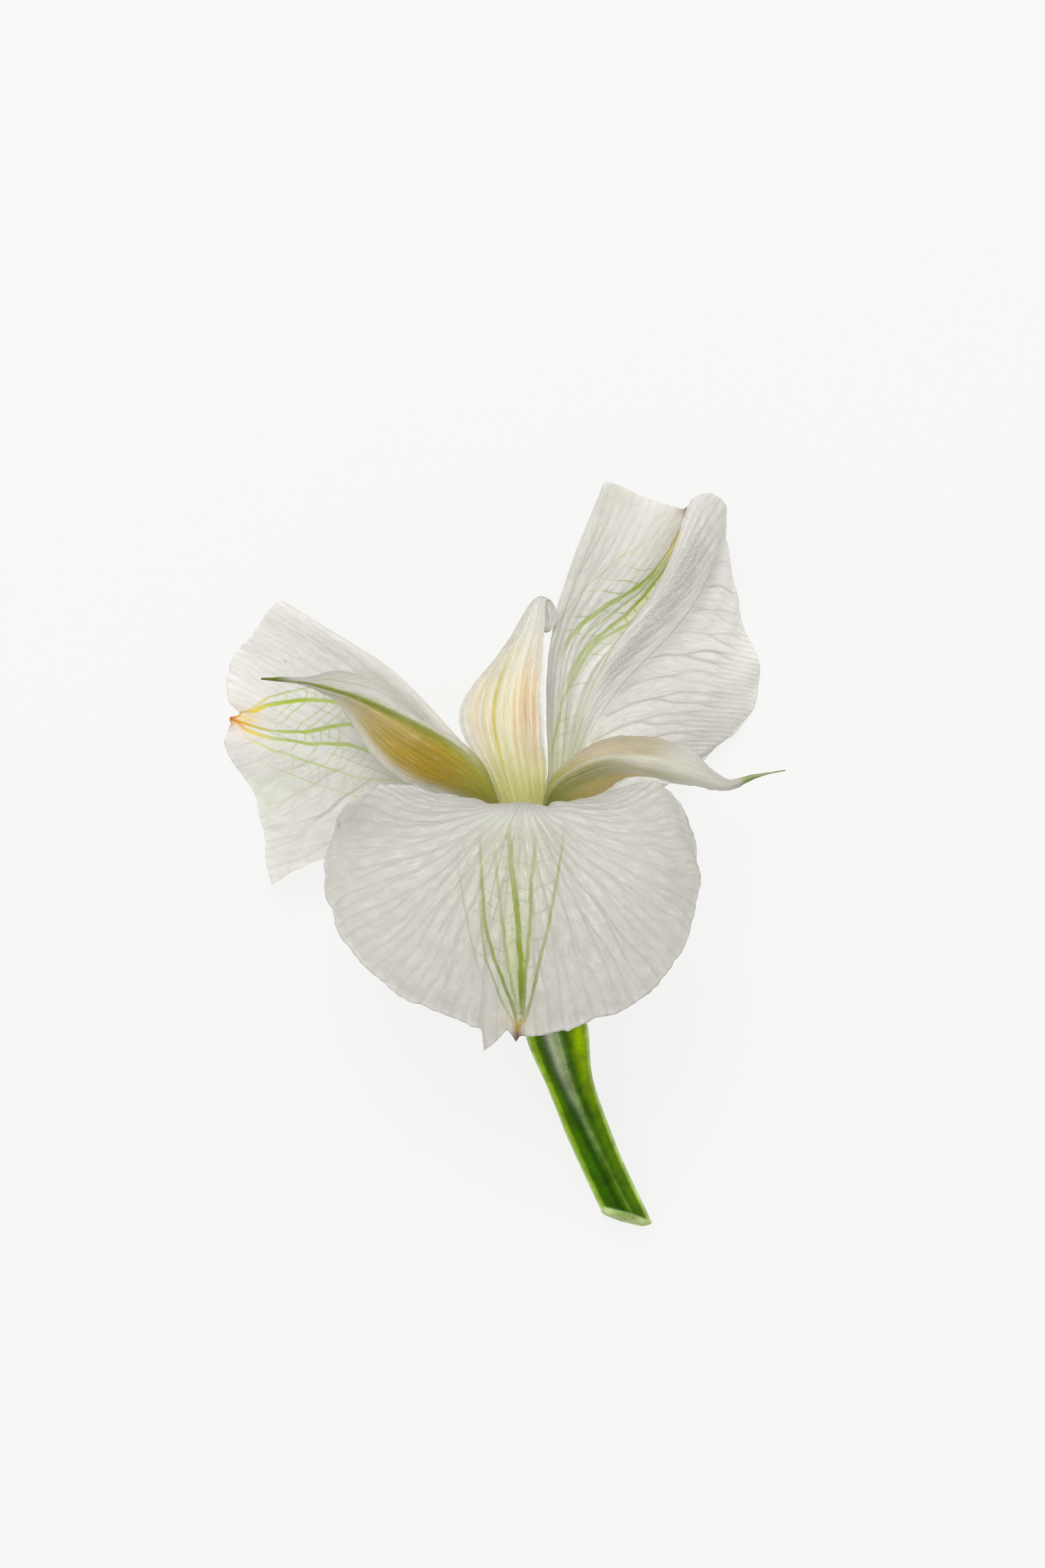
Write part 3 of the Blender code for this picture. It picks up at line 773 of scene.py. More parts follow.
def rightFanAmount(field):
    u, v = field["u"], field["v"]
    left = fall(0.36, 0.5, u) * smooth(0.74, 0.92, v)
    return (0.95 - 0.3 * smooth(0.85, 1.0, v) - 0.45 * left) * smooth(0.004, 0.04, np.abs(u - rightValley))


def rightSparkle(field):
    u, v = field["u"], field["v"]
    ridge = bell(u, 0.53, 0.055) * smooth(0.56, 0.70, v) * (1.0 - 0.5 * smooth(0.88, 0.98, v))
    return 0.9 * ridge + 0.34 * bell(u, 0.2, 0.12) * smooth(0.5, 0.6, v) * fall(0.7, 0.85, v)


def rightColours(field):
    p, y, u, v = field["points"], field["points"][..., 1], field["u"], field["v"]
    flat = fall(0.335, 0.36, u)
    tintAndPaintedLight = coats(
        p.shape, white,
        # painted shade over the half left of the crease
        ((0.78, 0.77, 0.73), 0.8 * flat),
        ((0.68, 0.67, 0.64), 0.7 * spot(p, 23.0, 14.5, 9.0, 7.0)),
        ((0.84, 0.88, 0.52), 0.85 * fall(0.33, 0.62, v)),
        # painted light: the rolled left edge, which lies in shade, whitened
        ((0.95, 0.94, 0.91), 0.9 * fall(0.05, 0.09, u)),
        # painted shade in a band along the rolled-back margin
        ((0.78, 0.76, 0.68), 0.5 * bell(u, 0.11, 0.035) * smooth(0.6, 0.75, v)),
        ((0.60, 0.60, 0.56), 0.6 * bell(u, 0.53, 0.06) * smooth(0.56, 0.7, v)),
        # painted shade in the valley beside the ridge
        ((0.50, 0.50, 0.47), 0.35 * bell(u, 0.615, 0.03) * smooth(0.55, 0.66, v) * fall(0.90, 1.0, v)),
        # painted highlight: a yellow-white rim along the left edge of the crease
        ((0.95, 0.90, 0.55), 0.9 * flat * smooth(0.30, 0.325, u) * smooth(0.70, 0.84, v)),
        ((0.88, 0.82, 0.64), 0.22 * flat * spot(p, 20.6, 40.0, 2.0, 2.2)),
        (chalk, 0.4 * np.exp(-field["edge"] / 0.5)),
        # painted light that lifts the shadow cast by the inner right tepal
        ((0.99, 0.99, 0.96), 0.9 * spot(p, 16.5, 8.6, 5.0, 2.2, 8.0)),
        ((0.70, 0.30, 0.08), 0.8 * flat * spot(p, 22.1, 40.8, 0.6, 0.8)),
        ((0.16, 0.03, 0.01), flat * np.sqrt(spot(p, 22.3, 42.0, 0.7, 0.8))),
    )
    veins = coats(p.shape, (0.37, 0.47, 0.03), ((0.74, 0.62, 0.03), smooth(33.5, 37.0, y)))
    return tintAndPaintedLight, veins


# the three inner tepals: the cupped one at the back, and a folded one on each side

def backColours(field):
    p, u, v = field["points"], field["u"], field["v"]
    aside = np.abs(u - 0.5) * 2.0
    fine, broad = streaks(field, 41, 26.0, 2.2), streaks(field, 42, 13.0, 1.6)
    heart = bell(v, 0.44, 0.13)
    tintAndPaintedLight = coats(
        p.shape, white * 1.07,
        ((0.96, 0.92, 0.62), (0.35 + 0.45 * fine) * fall(0.3, 0.95, aside) * fall(0.42, 0.72, v)),
        ((0.94, 0.74, 0.46), (0.30 + 0.60 * broad) * smooth(0.52, 0.66, u) * fall(0.88, 0.98, u) * heart),
        ((0.80, 0.54, 0.24), 0.75 * fine * smooth(0.66, 0.76, u) * fall(0.88, 0.95, u) * heart),
        ((0.96, 0.78, 0.50), (0.25 + 0.7 * fine) * bell(u, 0.20, 0.10) * bell(v, 0.45, 0.09)),
        ((0.72, 0.62, 0.07), 0.9 * bell(u, 0.40, 0.020) * smooth(0.28, 0.34, v) * fall(0.52, 0.64, v)),
        ((0.86, 0.74, 0.20), 0.5 * fine * bell(u, 0.33, 0.05) * bell(v, 0.42, 0.08)),
        ((0.86, 0.86, 0.34), (0.75 + 0.25 * fine) * fall(0.26, 0.42, v)),
        # the pale tip, whitened further as painted light against the shade under its curl
        ((1.0, 1.0, 0.98), smooth(0.68, 0.80, v)),
        ((0.55, 0.70, 0.28), 0.6 * smooth(0.98, 0.995, v)),
    )
    return tintAndPaintedLight, coats(p.shape, (0.72, 0.70, 0.30), ((0.96, 0.96, 0.93), smooth(0.58, 0.68, v)))


def innerLeftColours(field):
    p, u, v = field["points"], field["u"], field["v"]
    lower = fall(0.44, 0.50, u)
    streak, broad = streaks(field, 51, 26.0, 1.5), streaks(field, 52, 18.0, 1.2)
    heart, browned = spot(p, -8.6, 10.4, 5.8, 3.6, -32.0), spot(p, -8.0, 10.4, 6.5, 3.0, -32.0)
    tintAndPaintedLight = coats(
        p.shape, white,
        ((0.84, 0.82, 0.74), 0.6 * lower),
        ((0.70, 0.69, 0.65), 0.75 * (1.0 - lower) * smooth(0.3, 0.5, v)),
        ((0.68, 0.56, 0.12), 0.9 * lower * smooth(0.05, 0.18, u) * bell(v, 0.47, 0.2)),
        ((0.68, 0.45, 0.02), lower * smooth(0.03, 0.14, u) * np.sqrt(heart)),
        ((0.30, 0.22, 0.015), 0.5 * lower * streak * smooth(0.05, 0.18, u) * browned),
        ((0.46, 0.36, 0.06), 0.5 * lower * broad * bell(v, 0.5, 0.12)),
        ((0.90, 0.66, 0.34), 0.6 * lower * bell(u, 0.40, 0.07) * bell(v, 0.55, 0.08)),
        ((0.52, 0.50, 0.04), 0.9 * fall(0.30, 0.42, v)),
        ((0.86, 0.62, 0.20), 0.7 * smooth(0.90, 0.98, u) * bell(v, 0.42, 0.08)),
        ((0.46, 0.45, 0.03), 0.8 * bell(u, 0.475, 0.06) * bell(v, 0.46, 0.12)),
        ((0.27, 0.29, 0.02), 0.75 * bell(u, 0.47, 0.045) * bell(v, 0.48, 0.10)),
        ((0.36, 0.39, 0.03), 0.85 * bell(u, 0.485, 0.05) * smooth(0.50, 0.62, v)),
        ((0.15, 0.21, 0.01), 0.85 * bell(u, 0.475, 0.034) * smooth(0.46, 0.60, v)),
        ((0.26, 0.34, 0.06), 0.95 * smooth(0.90, 0.95, v)),
    )
    return tintAndPaintedLight, coats(p.shape, (0.22, 0.27, 0.02))


def innerRightColours(field):
    p, u, v = field["points"], field["u"], field["v"]
    upper = fall(0.46, 0.53, u)
    lower = 1.0 - upper
    streak, fine = streaks(field, 61, 22.0, 1.5), streaks(field, 62, 30.0, 2.4)
    near = fall(0.56, 0.74, v)
    tintAndPaintedLight = coats(
        p.shape, white,
        ((0.63, 0.56, 0.38), 0.82 * upper * near),
        ((0.80, 0.60, 0.34), (0.08 + 0.6 * streak) * upper * bell(v, 0.47, 0.12) * smooth(0.08, 0.2, u)),
        ((0.56, 0.53, 0.44), 0.5 * fine * upper * near),
        ((0.52, 0.46, 0.10), 0.8 * upper * fall(0.32, 0.44, v) * smooth(0.2, 0.4, u)),
        ((0.86, 0.83, 0.70), 0.7 * lower),
        ((0.42, 0.42, 0.06), (0.65 + 0.3 * streak) * lower * fall(0.36, 0.54, v)),
        ((0.66, 0.72, 0.36), 0.5 * bell(u, 0.70, 0.05) * bell(v, 0.58, 0.16)),
        ((0.84, 0.68, 0.26), (0.6 + 0.35 * streak) * smooth(0.78, 0.88, u) * fall(0.5, 0.62, v)),
        ((0.50, 0.52, 0.06), 0.85 * fall(0.25, 0.36, v)),
        ((0.90, 0.90, 0.88), 0.75 * smooth(0.56, 0.70, v)),
        # painted highlight along the keel
        ((0.93, 0.91, 0.84), 0.5 * bell(u, 0.5, 0.03) * smooth(0.36, 0.45, v)),
        ((0.38, 0.56, 0.06), 0.95 * smooth(0.84, 0.88, v)),
        ((0.72, 0.72, 0.44), 0.6 * smooth(0.90, 0.94, v)),
        ((0.74, 0.46, 0.34), 0.9 * smooth(0.96, 0.99, v)),
    )
    return tintAndPaintedLight, coats(p.shape, (0.70, 0.67, 0.52))


# lengths in millimetres, and places along or across the sheet in shares of it
sheetDefaults = {
    "way": 1,
    "middle": 0.5,
    "ruffle": 0.35,
    "ruffleWaves": (6.0, 14.0),
    "ruffleReach": 4.0,
    "crimp": 0.10,
    "crimpWaves": (22.0, 52.0),
    "crimpReach": 1.1,
    "pleat": 0.04,
    "groove": 0.05,
    "grooveHalf": 0.32,
    "mainGroove": 0.06,
    "mainGrooveHalf": 0.5,
    "wave": 0.10,
    "waves": (2.4, 8.0),
    "thin": 0.05,
    "thick": 0.34,
    "taper": 2.5,
    "midribThick": 0.12,
    "midribHalf": 0.45,
    "sideWave": 0.0016,
    "sideWaves": (8.0, 26.0),
    "sideFrom": (0.4, 0.7),
    "sideReach": 0.012,
    "outlineFrom": 0.70,
    "tearFrom": 0.955,
    "fanWander": 0.09,
    "course": spreadOut,
    "linkLength": 3.0,
    "linkShare": 0.6,
    "linkAmount": 0.55,
    "sparkle": lambda field: 0.0 * field["v"],
    "tear": lambda u: 0.0 * u,
    "calm": lambda u: 1.0 + 0.0 * u,
    "fullness": lambda u: 1.0 + 0.0 * u,
    "splay": ((1.0,) * 5, (1.0,) * 5),
    "pinch": (0.9, 1.0, 0.0),
    "bladeFrom": (0.3, 0.5),
}

outerDefaults = {
    **sheetDefaults,
    "claw": "outerClaw",
    "grid": (300, 132),
}

frontTepal = {
    **outerDefaults,
    "angle": 90,
    "blade": (
        ((5.6, 2.8, 16.4), (4.8, 3.0, 17.1), (3.9, 3.2, 17.6), (2.9, 3.3, 17.8), (1.9, 3.4, 17.9),
         (0.9, 3.3, 17.8), (-0.1, 3.2, 17.6), (-1.2, 3.0, 17.3), (-2.2, 2.8, 16.7)),
        ((6.0, 5.8, 19.6), (4.9, 5.7, 20.4), (3.8, 5.6, 21.0), (2.8, 5.6, 21.3), (1.8, 5.6, 21.4),
         (0.9, 5.6, 21.3), (-0.1, 5.6, 21.0), (-1.2, 5.7, 20.4), (-2.5, 5.8, 19.6)),
        ((12.2, 7.1, 22.0), (10.5, 5.0, 23.8), (8.0, 2.5, 25.4), (4.9, 0.7, 26.4), (1.3, -0.3, 26.8),
         (-2.6, 0.4, 26.4), (-5.9, 2.2, 25.4), (-8.1, 4.9, 23.8), (-9.4, 7.5, 22.0)),
        ((18.1, 8.2, 22.0), (17.6, 0.4, 26.0), (13.7, -5.5, 28.0), (7.7, -9.3, 28.6), (0.9, -10.8, 28.6),
         (-5.9, -9.4, 28.2), (-11.8, -5.6, 27.2), (-15.9, 1.0, 24.6), (-16.4, 7.5, 20.5)),
        ((23.0, 1.4, 20.5), (22.1, -7.2, 24.5), (17.5, -15.6, 26.5), (8.8, -20.1, 26.8), (1.1, -21.3, 26.0),
         (-7.4, -18.9, 26.5), (-15.9, -14.0, 26.0), (-20.8, -6.4, 23.0), (-21.6, 1.7, 18.0)),
    ),
    "rowsAt": ((0.0, 0.10, 0.22, 1.0), (0.0, 0.333, 0.50, 1.0)),
    "seed": 101,
    "outline": frontOutline,
    "tear": frontTear,
    "fan": 12,
    "forks": (0.56, 0.76),
    "splay": ((0.34, 0.42, 0.58, 0.80, 1.0), (0.34, 0.42, 0.58, 0.80, 1.0)),
    "sparkle": frontSparkle,
    "fanAmount": frontFanAmount,
    "mainKnots": (0.40, 0.62, 0.71, 0.80, 0.86, 0.93, 0.97, 1.0),
    "mainVeins": (
        ((6.0, 8.0, 7.2, 5.6, 4.6, 3.2, 2.0, 0.4), 0.08, 0.40, 0.70, 0.90),
        ((3.7, 5.1, 4.6, 3.8, 3.3, 1.7, 0.4, -0.1), 0.10, 0.60, 0.76, 0.99),
        ((3.2, 4.7, 4.2, 3.4, 2.2, 0.5, -0.3, -0.2), 0.17, 0.95, 0.65, 1.03),
        ((1.9, 2.9, 2.2, 1.3, 0.7, -0.1, -0.6, -0.2), 0.12, 0.60, 0.67, 0.96),
        ((0.8, 1.2, 0.3, -0.5, -0.85, -0.85, -0.75, -0.2), 0.27, 1.00, 0.61, 1.10),
        ((-1.2, -2.2, -1.9, -1.9, -1.5, -1.1, -0.8, -0.2), 0.17, 0.80, 0.64, 1.00),
        ((-3.4, -6.3, -5.4, -4.2, -3.1, -2.0, -1.2, -0.2), 0.15, 0.75, 0.65, 1.00),
    ),
    "linkAmount": 0.35,
    "colours": frontColours,
}

leftTepal = {
    **outerDefaults,
    "angle": 210,
    "way": -1,
    "blade": (
        ((-0.3, 2.5, 9.5), (-0.7, 3.0, 9.3), (-1.0, 3.5, 9.3), (-1.3, 4.1, 9.4), (-1.5, 4.6, 9.6),
         (-1.7, 5.3, 10.0), (-1.7, 5.9, 10.5), (-1.6, 6.6, 11.0), (-1.3, 7.0, 11.0)),
        ((-7.4, 1.2, 8.2), (-7.7, 2.7, 7.8), (-8.1, 4.3, 7.6), (-8.4, 5.8, 7.4), (-8.7, 7.4, 7.4),
         (-8.9, 9.1, 7.9), (-8.7, 11.5, 9.2), (-7.5, 14.7, 10.4), (-6.1, 13.6, 8.6)),
        ((-14.7, -0.6, 7.0), (-15.2, 2.0, 5.6), (-15.9, 4.8, 5.0), (-16.5, 7.5, 4.8), (-17.0, 10.3, 4.8),
         (-17.3, 13.3, 5.3), (-16.5, 17.4, 7.0), (-14.2, 21.5, 9.0), (-12.6, 19.6, 6.8)),
        ((-22.0, -1.0, 6.8), (-22.7, 2.0, 4.4), (-23.9, 5.7, 3.2), (-24.9, 9.6, 2.8), (-25.4, 13.4, 2.8),
         (-25.7, 17.1, 3.0), (-24.3, 21.8, 4.6), (-21.1, 26.1, 7.2), (-19.5, 23.7, 4.8)),
        ((-28.6, -4.0, 6.0), (-29.7, 2.5, 3.2), (-31.1, 7.5, 1.6), (-34.2, 12.1, 0.9), (-33.7, 16.1, 0.9),
         (-34.3, 21.2, 0.9), (-31.6, 25.7, 2.4), (-27.8, 30.2, 5.4), (-26.0, 28.5, 3.2)),
    ),
    "rowsAt": ((0.0, 0.10, 0.20, 1.0), (0.0, 0.333, 0.45, 1.0)),
    "seed": 202,
    "outline": leftOutline,
    "calm": lambda u: 1.0 - smooth(0.80, 0.90, u),
    "fan": 13,
    "forks": (0.50, 0.72),
    "splay": ((0.34, 0.42, 0.58, 0.80, 1.0), (0.85, 0.88, 0.92, 0.96, 1.0)),
    "course": leftCourse,
    "sparkle": leftSparkle,
    "fanAmount": leftFanAmount,
    "mainKnots": (0.45, 0.58, 0.70, 0.80, 0.90, 0.96, 1.0),
    "mainVeins": (
        ((4.5, 7.0, 8.6, 7.6, 5.3, 3.0, 0.3), 0.10, 0.65, 0.66, 1.02),
        ((3.5, 6.0, 7.2, 5.9, 4.35, 2.9, 0.1), 0.20, 1.00, 0.55, 1.10),
        ((2.6, 4.6, 4.6, 1.9, 0.25, 0.0, 0.0), 0.22, 1.00, 0.50, 1.10),
        ((1.4, 2.6, 2.0, 0.25, -1.0, -1.1, 0.0), 0.18, 0.95, 0.50, 1.10),
        ((0.2, -0.1, -2.0, -2.25, -2.45, -1.9, -0.1), 0.10, 0.60, 0.50, 0.97),
        ((-1.2, -2.4, -4.6, -5.0, -4.8, -3.4, -0.3), 0.06, 0.40, 0.55, 0.93),
    ),
    "linkLength": 2.3,
    "linkShare": 0.75,
    "linkAmount": 0.45,
    "colours": leftColours,
}

rightTepal = {
    **outerDefaults,
    "angle": 330,
    "blade": (
        ((4.6, 6.6, 10.6), (5.0, 6.3, 10.8), (5.3, 6.1, 10.6), (5.6, 5.8, 10.3), (5.9, 5.6, 10.1),
         (6.2, 5.5, 10.0), (6.35, 5.3, 9.95), (6.5, 5.1, 9.9), (6.6, 4.9, 9.85), (6.7, 4.7, 9.8),
         (6.75, 4.45, 9.8), (6.8, 4.2, 9.8), (6.8, 3.9, 9.85), (6.8, 3.6, 9.9), (6.7, 3.3, 10.0)),
        ((5.8, 14.6, 8.0), (4.9, 14.7, 9.8), (5.5, 14.6, 9.4), (6.3, 14.3, 9.2), (7.0, 13.9, 9.0),
         (7.6, 13.7, 9.0), (8.1, 13.5, 9.2), (8.6, 13.2, 9.3), (9.1, 12.8, 9.2), (9.7, 12.3, 9.0),
         (10.3, 11.7, 8.8), (10.8, 11.0, 8.8), (11.2, 10.3, 8.8), (11.5, 8.7, 8.9), (11.5, 6.2, 8.9)),
        ((6.6, 24.9, 6.6), (5.3, 25.4, 8.6), (6.4, 25.1, 8.0), (7.6, 24.6, 7.4), (9.0, 24.0, 7.0),
         (10.8, 22.8, 6.8), (11.2, 22.6, 7.8), (12.0, 22.0, 8.6), (13.2, 20.8, 8.2), (14.4, 19.2, 7.4),
         (15.4, 17.4, 6.8), (16.1, 15.4, 6.6), (16.4, 13.6, 6.7), (16.2, 10.9, 7.0), (15.5, 6.8, 7.5)),
        ((10.2, 35.5, 6.0), (8.5, 36.5, 8.0), (11.0, 35.3, 6.8), (13.4, 33.9, 5.8), (15.9, 32.1, 4.8),
         (18.9, 30.4, 4.0), (18.2, 31.4, 6.8), (19.4, 32.2, 8.8), (21.6, 30.6, 8.0), (22.8, 28.2, 6.2),
         (23.9, 25.2, 4.6), (24.8, 22.2, 3.6), (25.2, 18.6, 3.4), (23.7, 13.8, 4.0), (20.0, 8.3, 5.4)),
        ((13.4, 43.1, 5.8), (12.0, 45.1, 7.6), (15.3, 43.6, 6.0), (18.9, 42.2, 5.0), (22.1, 41.4, 4.0),
         (22.9, 39.8, 3.0), (21.5, 40.5, 6.4), (23.0, 42.8, 9.2), (26.4, 42.2, 8.0), (26.6, 38.6, 5.0),
         (27.6, 33.5, 3.0), (28.8, 27.8, 1.4), (30.9, 22.0, 1.0), (29.4, 16.3, 1.2), (24.2, 11.3, 3.4)),
    ),
    "rowsAt": ((0.0, 0.09, 0.18, 1.0), (0.0, 0.333, 0.45, 1.0)),
    "seed": 303,
    "middle": rightMidrib,
    "outline": rightOutline,
    "calm": lambda u: smooth(0.06, 0.14, u),
    "fullness": lambda u: 1.0 - 0.85 * bell(u, 0.06, 0.05),
    "fan": 15,
    "forks": (0.46, 0.72),
    "splay": ((0.9, 0.92, 0.95, 0.98, 1.0), (0.40, 0.46, 0.60, 0.80, 1.0)),
    "course": rightCourse,
    "linkLength": 4.0,
    "linkShare": 0.75,
    "fanAmount": rightFanAmount,
    "mainKnots": (0.45, 0.56, 0.64, 0.71, 0.77, 0.86, 0.92, 0.97, 1.0),
    "mainVeins": (
        ((-3.6, -4.0, -4.2, -4.6, -5.0, -4.6, -3.0, -1.5, -0.4), 0.05, 0.35, 0.66, 0.92),
        ((-2.8, -2.7, -2.4, -2.0, -1.3, 0.4, 0.9, 0.8, -0.3), 0.26, 1.00, 0.66, 1.00),
        ((-2.0, -1.2, -0.1, 0.7, 1.3, 1.5, 1.9, 1.3, -0.3), 0.19, 0.95, 0.60, 1.00),
        ((-2.4, -1.9, -1.2, -0.6, 0.1, 1.0, 1.5, 1.1, -0.3), 0.10, 0.70, 0.68, 0.98),
        ((-1.6, -0.8, 0.6, 1.2, 2.6, 2.6, 2.6, 2.0, -0.3), 0.18, 0.90, 0.44, 0.90),
        ((1.1, 2.3, 3.7, 5.0, 6.5, 8.0, 9.0, 9.0, 9.0), 0.12, 0.55, 0.42, 0.80),
    ),
    "sparkle": rightSparkle,
    "colours": rightColours,
}

innerDefaults = {
    **sheetDefaults,
    "claw": "innerClaw",
    "ruffle": 0.12,
    "crimp": 0.06,
    "pleat": 0.014,
    "groove": 0.02,
    "wave": 0.06,
    "thick": 0.30,
    "fan": 9,
    "forks": (0.30, 0.55),
    "fanWander": 0.2,
    "fanAmount": lambda field: 0.9 - 0.6 * smooth(0.8, 0.95, field["v"]),
    "outline": lambda u, flatWidth: 0.0 * u,
    "grid": (80, 250),
    "rowsAt": ((0.0, 0.12, 1.0), (0.0, 0.24, 1.0)),
    "mainKnots": (0.15, 0.5, 0.8, 1.0),
    "mainVeins": (
        ((-1.2, -2.4, -1.0, -0.1), 0.04, 0.4, 0.2, 0.85),
        ((0.0, 0.0, 0.0, 0.0), 0.10, 0.7, 0.1, 0.98),
        ((1.2, 2.4, 1.0, 0.1), 0.04, 0.4, 0.2, 0.85),
    ),
    "linkAmount": 0.25,
    "bladeFrom": (0.15, 0.3),
}

backTepal = {
    **innerDefaults,
    "angle": 270,
    "blade": (
        ((-0.6, 4.8, 12.8), (0.5, 4.5, 11.9), (1.9, 4.3, 11.5), (3.4, 4.5, 11.9), (4.6, 4.8, 12.8)),
        ((-3.0, 10.2, 14.0), (-1.3, 10.1, 12.8), (0.6, 10.0, 12.3), (2.9, 10.1, 12.8), (4.8, 10.2, 14.0)),
        ((-5.7, 16.3, 13.6), (-3.2, 16.1, 12.6), (-0.4, 16.0, 12.0), (2.2, 16.1, 12.6), (4.4, 16.3, 14.0)),
        ((-2.6, 21.8, 12.0), (-1.3, 21.9, 11.6), (0.5, 22.1, 11.2), (2.6, 22.0, 11.8), (4.5, 21.7, 13.0)),
        ((0.9, 26.6, 11.2), (1.6, 26.8, 11.0), (2.6, 27.0, 10.8), (3.7, 26.8, 11.2), (4.5, 26.5, 11.9)),
        ((3.3, 30.3, 10.3), (3.7, 30.6, 10.3), (4.1, 30.7, 10.2), (4.5, 30.6, 10.2), (4.9, 30.4, 10.3)),
        ((4.4, 28.1, 9.4), (4.9, 28.5, 9.4), (5.3, 28.8, 9.3), (5.7, 28.9, 9.3), (6.1, 28.7, 9.3)),
        ((4.5, 26.5, 9.3), (4.7, 26.4, 9.3), (4.9, 26.4, 9.3), (5.1, 26.5, 9.3), (5.3, 26.6, 9.3)),
    ),
    "seed": 404,
    "sparkle": lambda field: 0.33 * bell(field["v"], 0.5, 0.2),
    "colours": backColours,
}

innerLeftTepal = {
    **innerDefaults,
    "angle": 150,
    "blade": (
        ((-0.5, 4.2, 14.0), (-0.6, 4.6, 15.1), (-0.7, 5.1, 15.7),
         (-0.9, 5.7, 15.5), (-1.1, 6.2, 14.8)),
        ((-7.6, 7.0, 14.0), (-6.6, 9.4, 16.4), (-5.4, 12.1, 17.8),
         (-4.4, 12.3, 16.4), (-4.1, 11.3, 14.9)),
        ((-14.1, 9.6, 12.4), (-12.6, 12.9, 15.6), (-10.9, 15.4, 17.6),
         (-9.5, 15.3, 15.8), (-8.6, 14.2, 13.4)),
        ((-18.4, 14.9, 11.2), (-17.2, 16.8, 14.4), (-16.2, 17.9, 16.0),
         (-13.9, 19.5, 14.6), (-12.8, 18.9, 12.8)),
        ((-21.1, 18.6, 11.6), (-20.6, 18.9, 13.6), (-20.1, 19.3, 14.6),
         (-19.6, 20.9, 13.8), (-19.2, 21.6, 12.6)),
        ((-25.6, 19.8, 12.4), (-25.2, 20.1, 13.2), (-24.9, 20.4, 13.7),
         (-24.7, 21.0, 13.2), (-24.3, 21.7, 12.6)),
        ((-29.6, 20.6, 12.6), (-29.5, 20.7, 12.8), (-29.4, 20.8, 12.9),
         (-29.4, 20.9, 12.8), (-29.3, 21.0, 12.6)),
    ),
    "seed": 505,
    "pinch": (0.76, 0.88, 0.55),
    "colours": innerLeftColours,
}

innerRightTepal = {
    **innerDefaults,
    "angle": 30,
    "way": -1,
    "blade": (
        ((4.5, 5.9, 15.0), (4.4, 5.4, 15.7), (4.4, 4.9, 15.9), (4.7, 4.5, 15.3), (5.2, 4.3, 14.3)),
        ((7.1, 10.7, 16.4), (6.9, 10.1, 18.4), (7.1, 9.3, 19.4), (7.9, 8.4, 18.6), (9.5, 6.5, 16.0)),
        ((11.6, 13.5, 17.6), (11.5, 12.6, 20.0), (11.7, 11.3, 21.4), (12.7, 10.2, 20.0), (12.9, 8.2, 16.8)),
        ((16.5, 13.8, 17.4), (16.3, 12.7, 19.8), (16.3, 11.3, 21.2), (17.2, 9.4, 19.6), (15.7, 9.1, 16.6)),
        ((21.5, 12.3, 16.4), (21.2, 11.6, 18.2), (21.0, 10.5, 19.4), (21.7, 8.6, 18.2), (20.8, 8.2, 15.8)),
        ((25.9, 9.0, 15.4), (25.9, 8.8, 16.0), (26.0, 8.5, 16.4), (26.3, 7.7, 16.0), (26.1, 7.4, 15.0)),
        ((28.8, 9.2, 15.0), (28.8, 9.1, 15.4), (28.9, 8.9, 15.6), (29.0, 8.6, 15.4), (28.8, 8.3, 15.0)),
        ((33.3, 10.0, 15.0), (33.3, 9.9, 15.1), (33.3, 9.8, 15.2), (33.3, 9.7, 15.1), (33.3, 9.6, 15.0)),
    ),
    "seed": 606,
    "pinch": (0.84, 0.97, 0.7),
    "colours": innerRightColours,
}

flower = (
    ("outerTepalFront", "outer_tepal_front", frontTepal),
    ("outerTepalLeft", "outer_tepal_left", leftTepal),
    ("outerTepalRight", "outer_tepal_right", rightTepal),
    ("innerTepalBack", "inner_tepal_back", backTepal),
    ("innerTepalLeft", "inner_tepal_left", innerLeftTepal),
    ("innerTepalRight", "inner_tepal_right", innerRightTepal),
)


def findSeat(samples=60):
    # the shift from the flower's own millimetres to where the model stands
    shifts = []
    places = np.linspace(0, 1, samples)
    for name, node, tepal in flower:
        sheet = surfaceAt(tepalRows(tepal), *np.meshgrid(places, places)).reshape(-1, 3)
        low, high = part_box(node)
        stands = (np.array(low) + np.array(high)) / (2 * mm)
        shifts.append(stands - (sheet.min(axis=0) + sheet.max(axis=0)) / 2)
        print("the seat of", name, "in mm", np.round(shifts[-1], 2).tolist())
    return np.median(shifts, axis=0)


seat = findSeat()


def seated(points):
    # metres where the model stands, from the flower's own millimetres
    return (points + seat) * mm


whorls = {
    "outer": (tepalMaterial(whiteTepalLook), "outer_tepal"),
    "inner": (tepalMaterial(innerTepalLook), "inner_tepal"),
}
for name, node, tepal in flower:
    makeTepal(name, node, tepal, *whorls[node.split("_")[0]])


# the stalk and the ovary

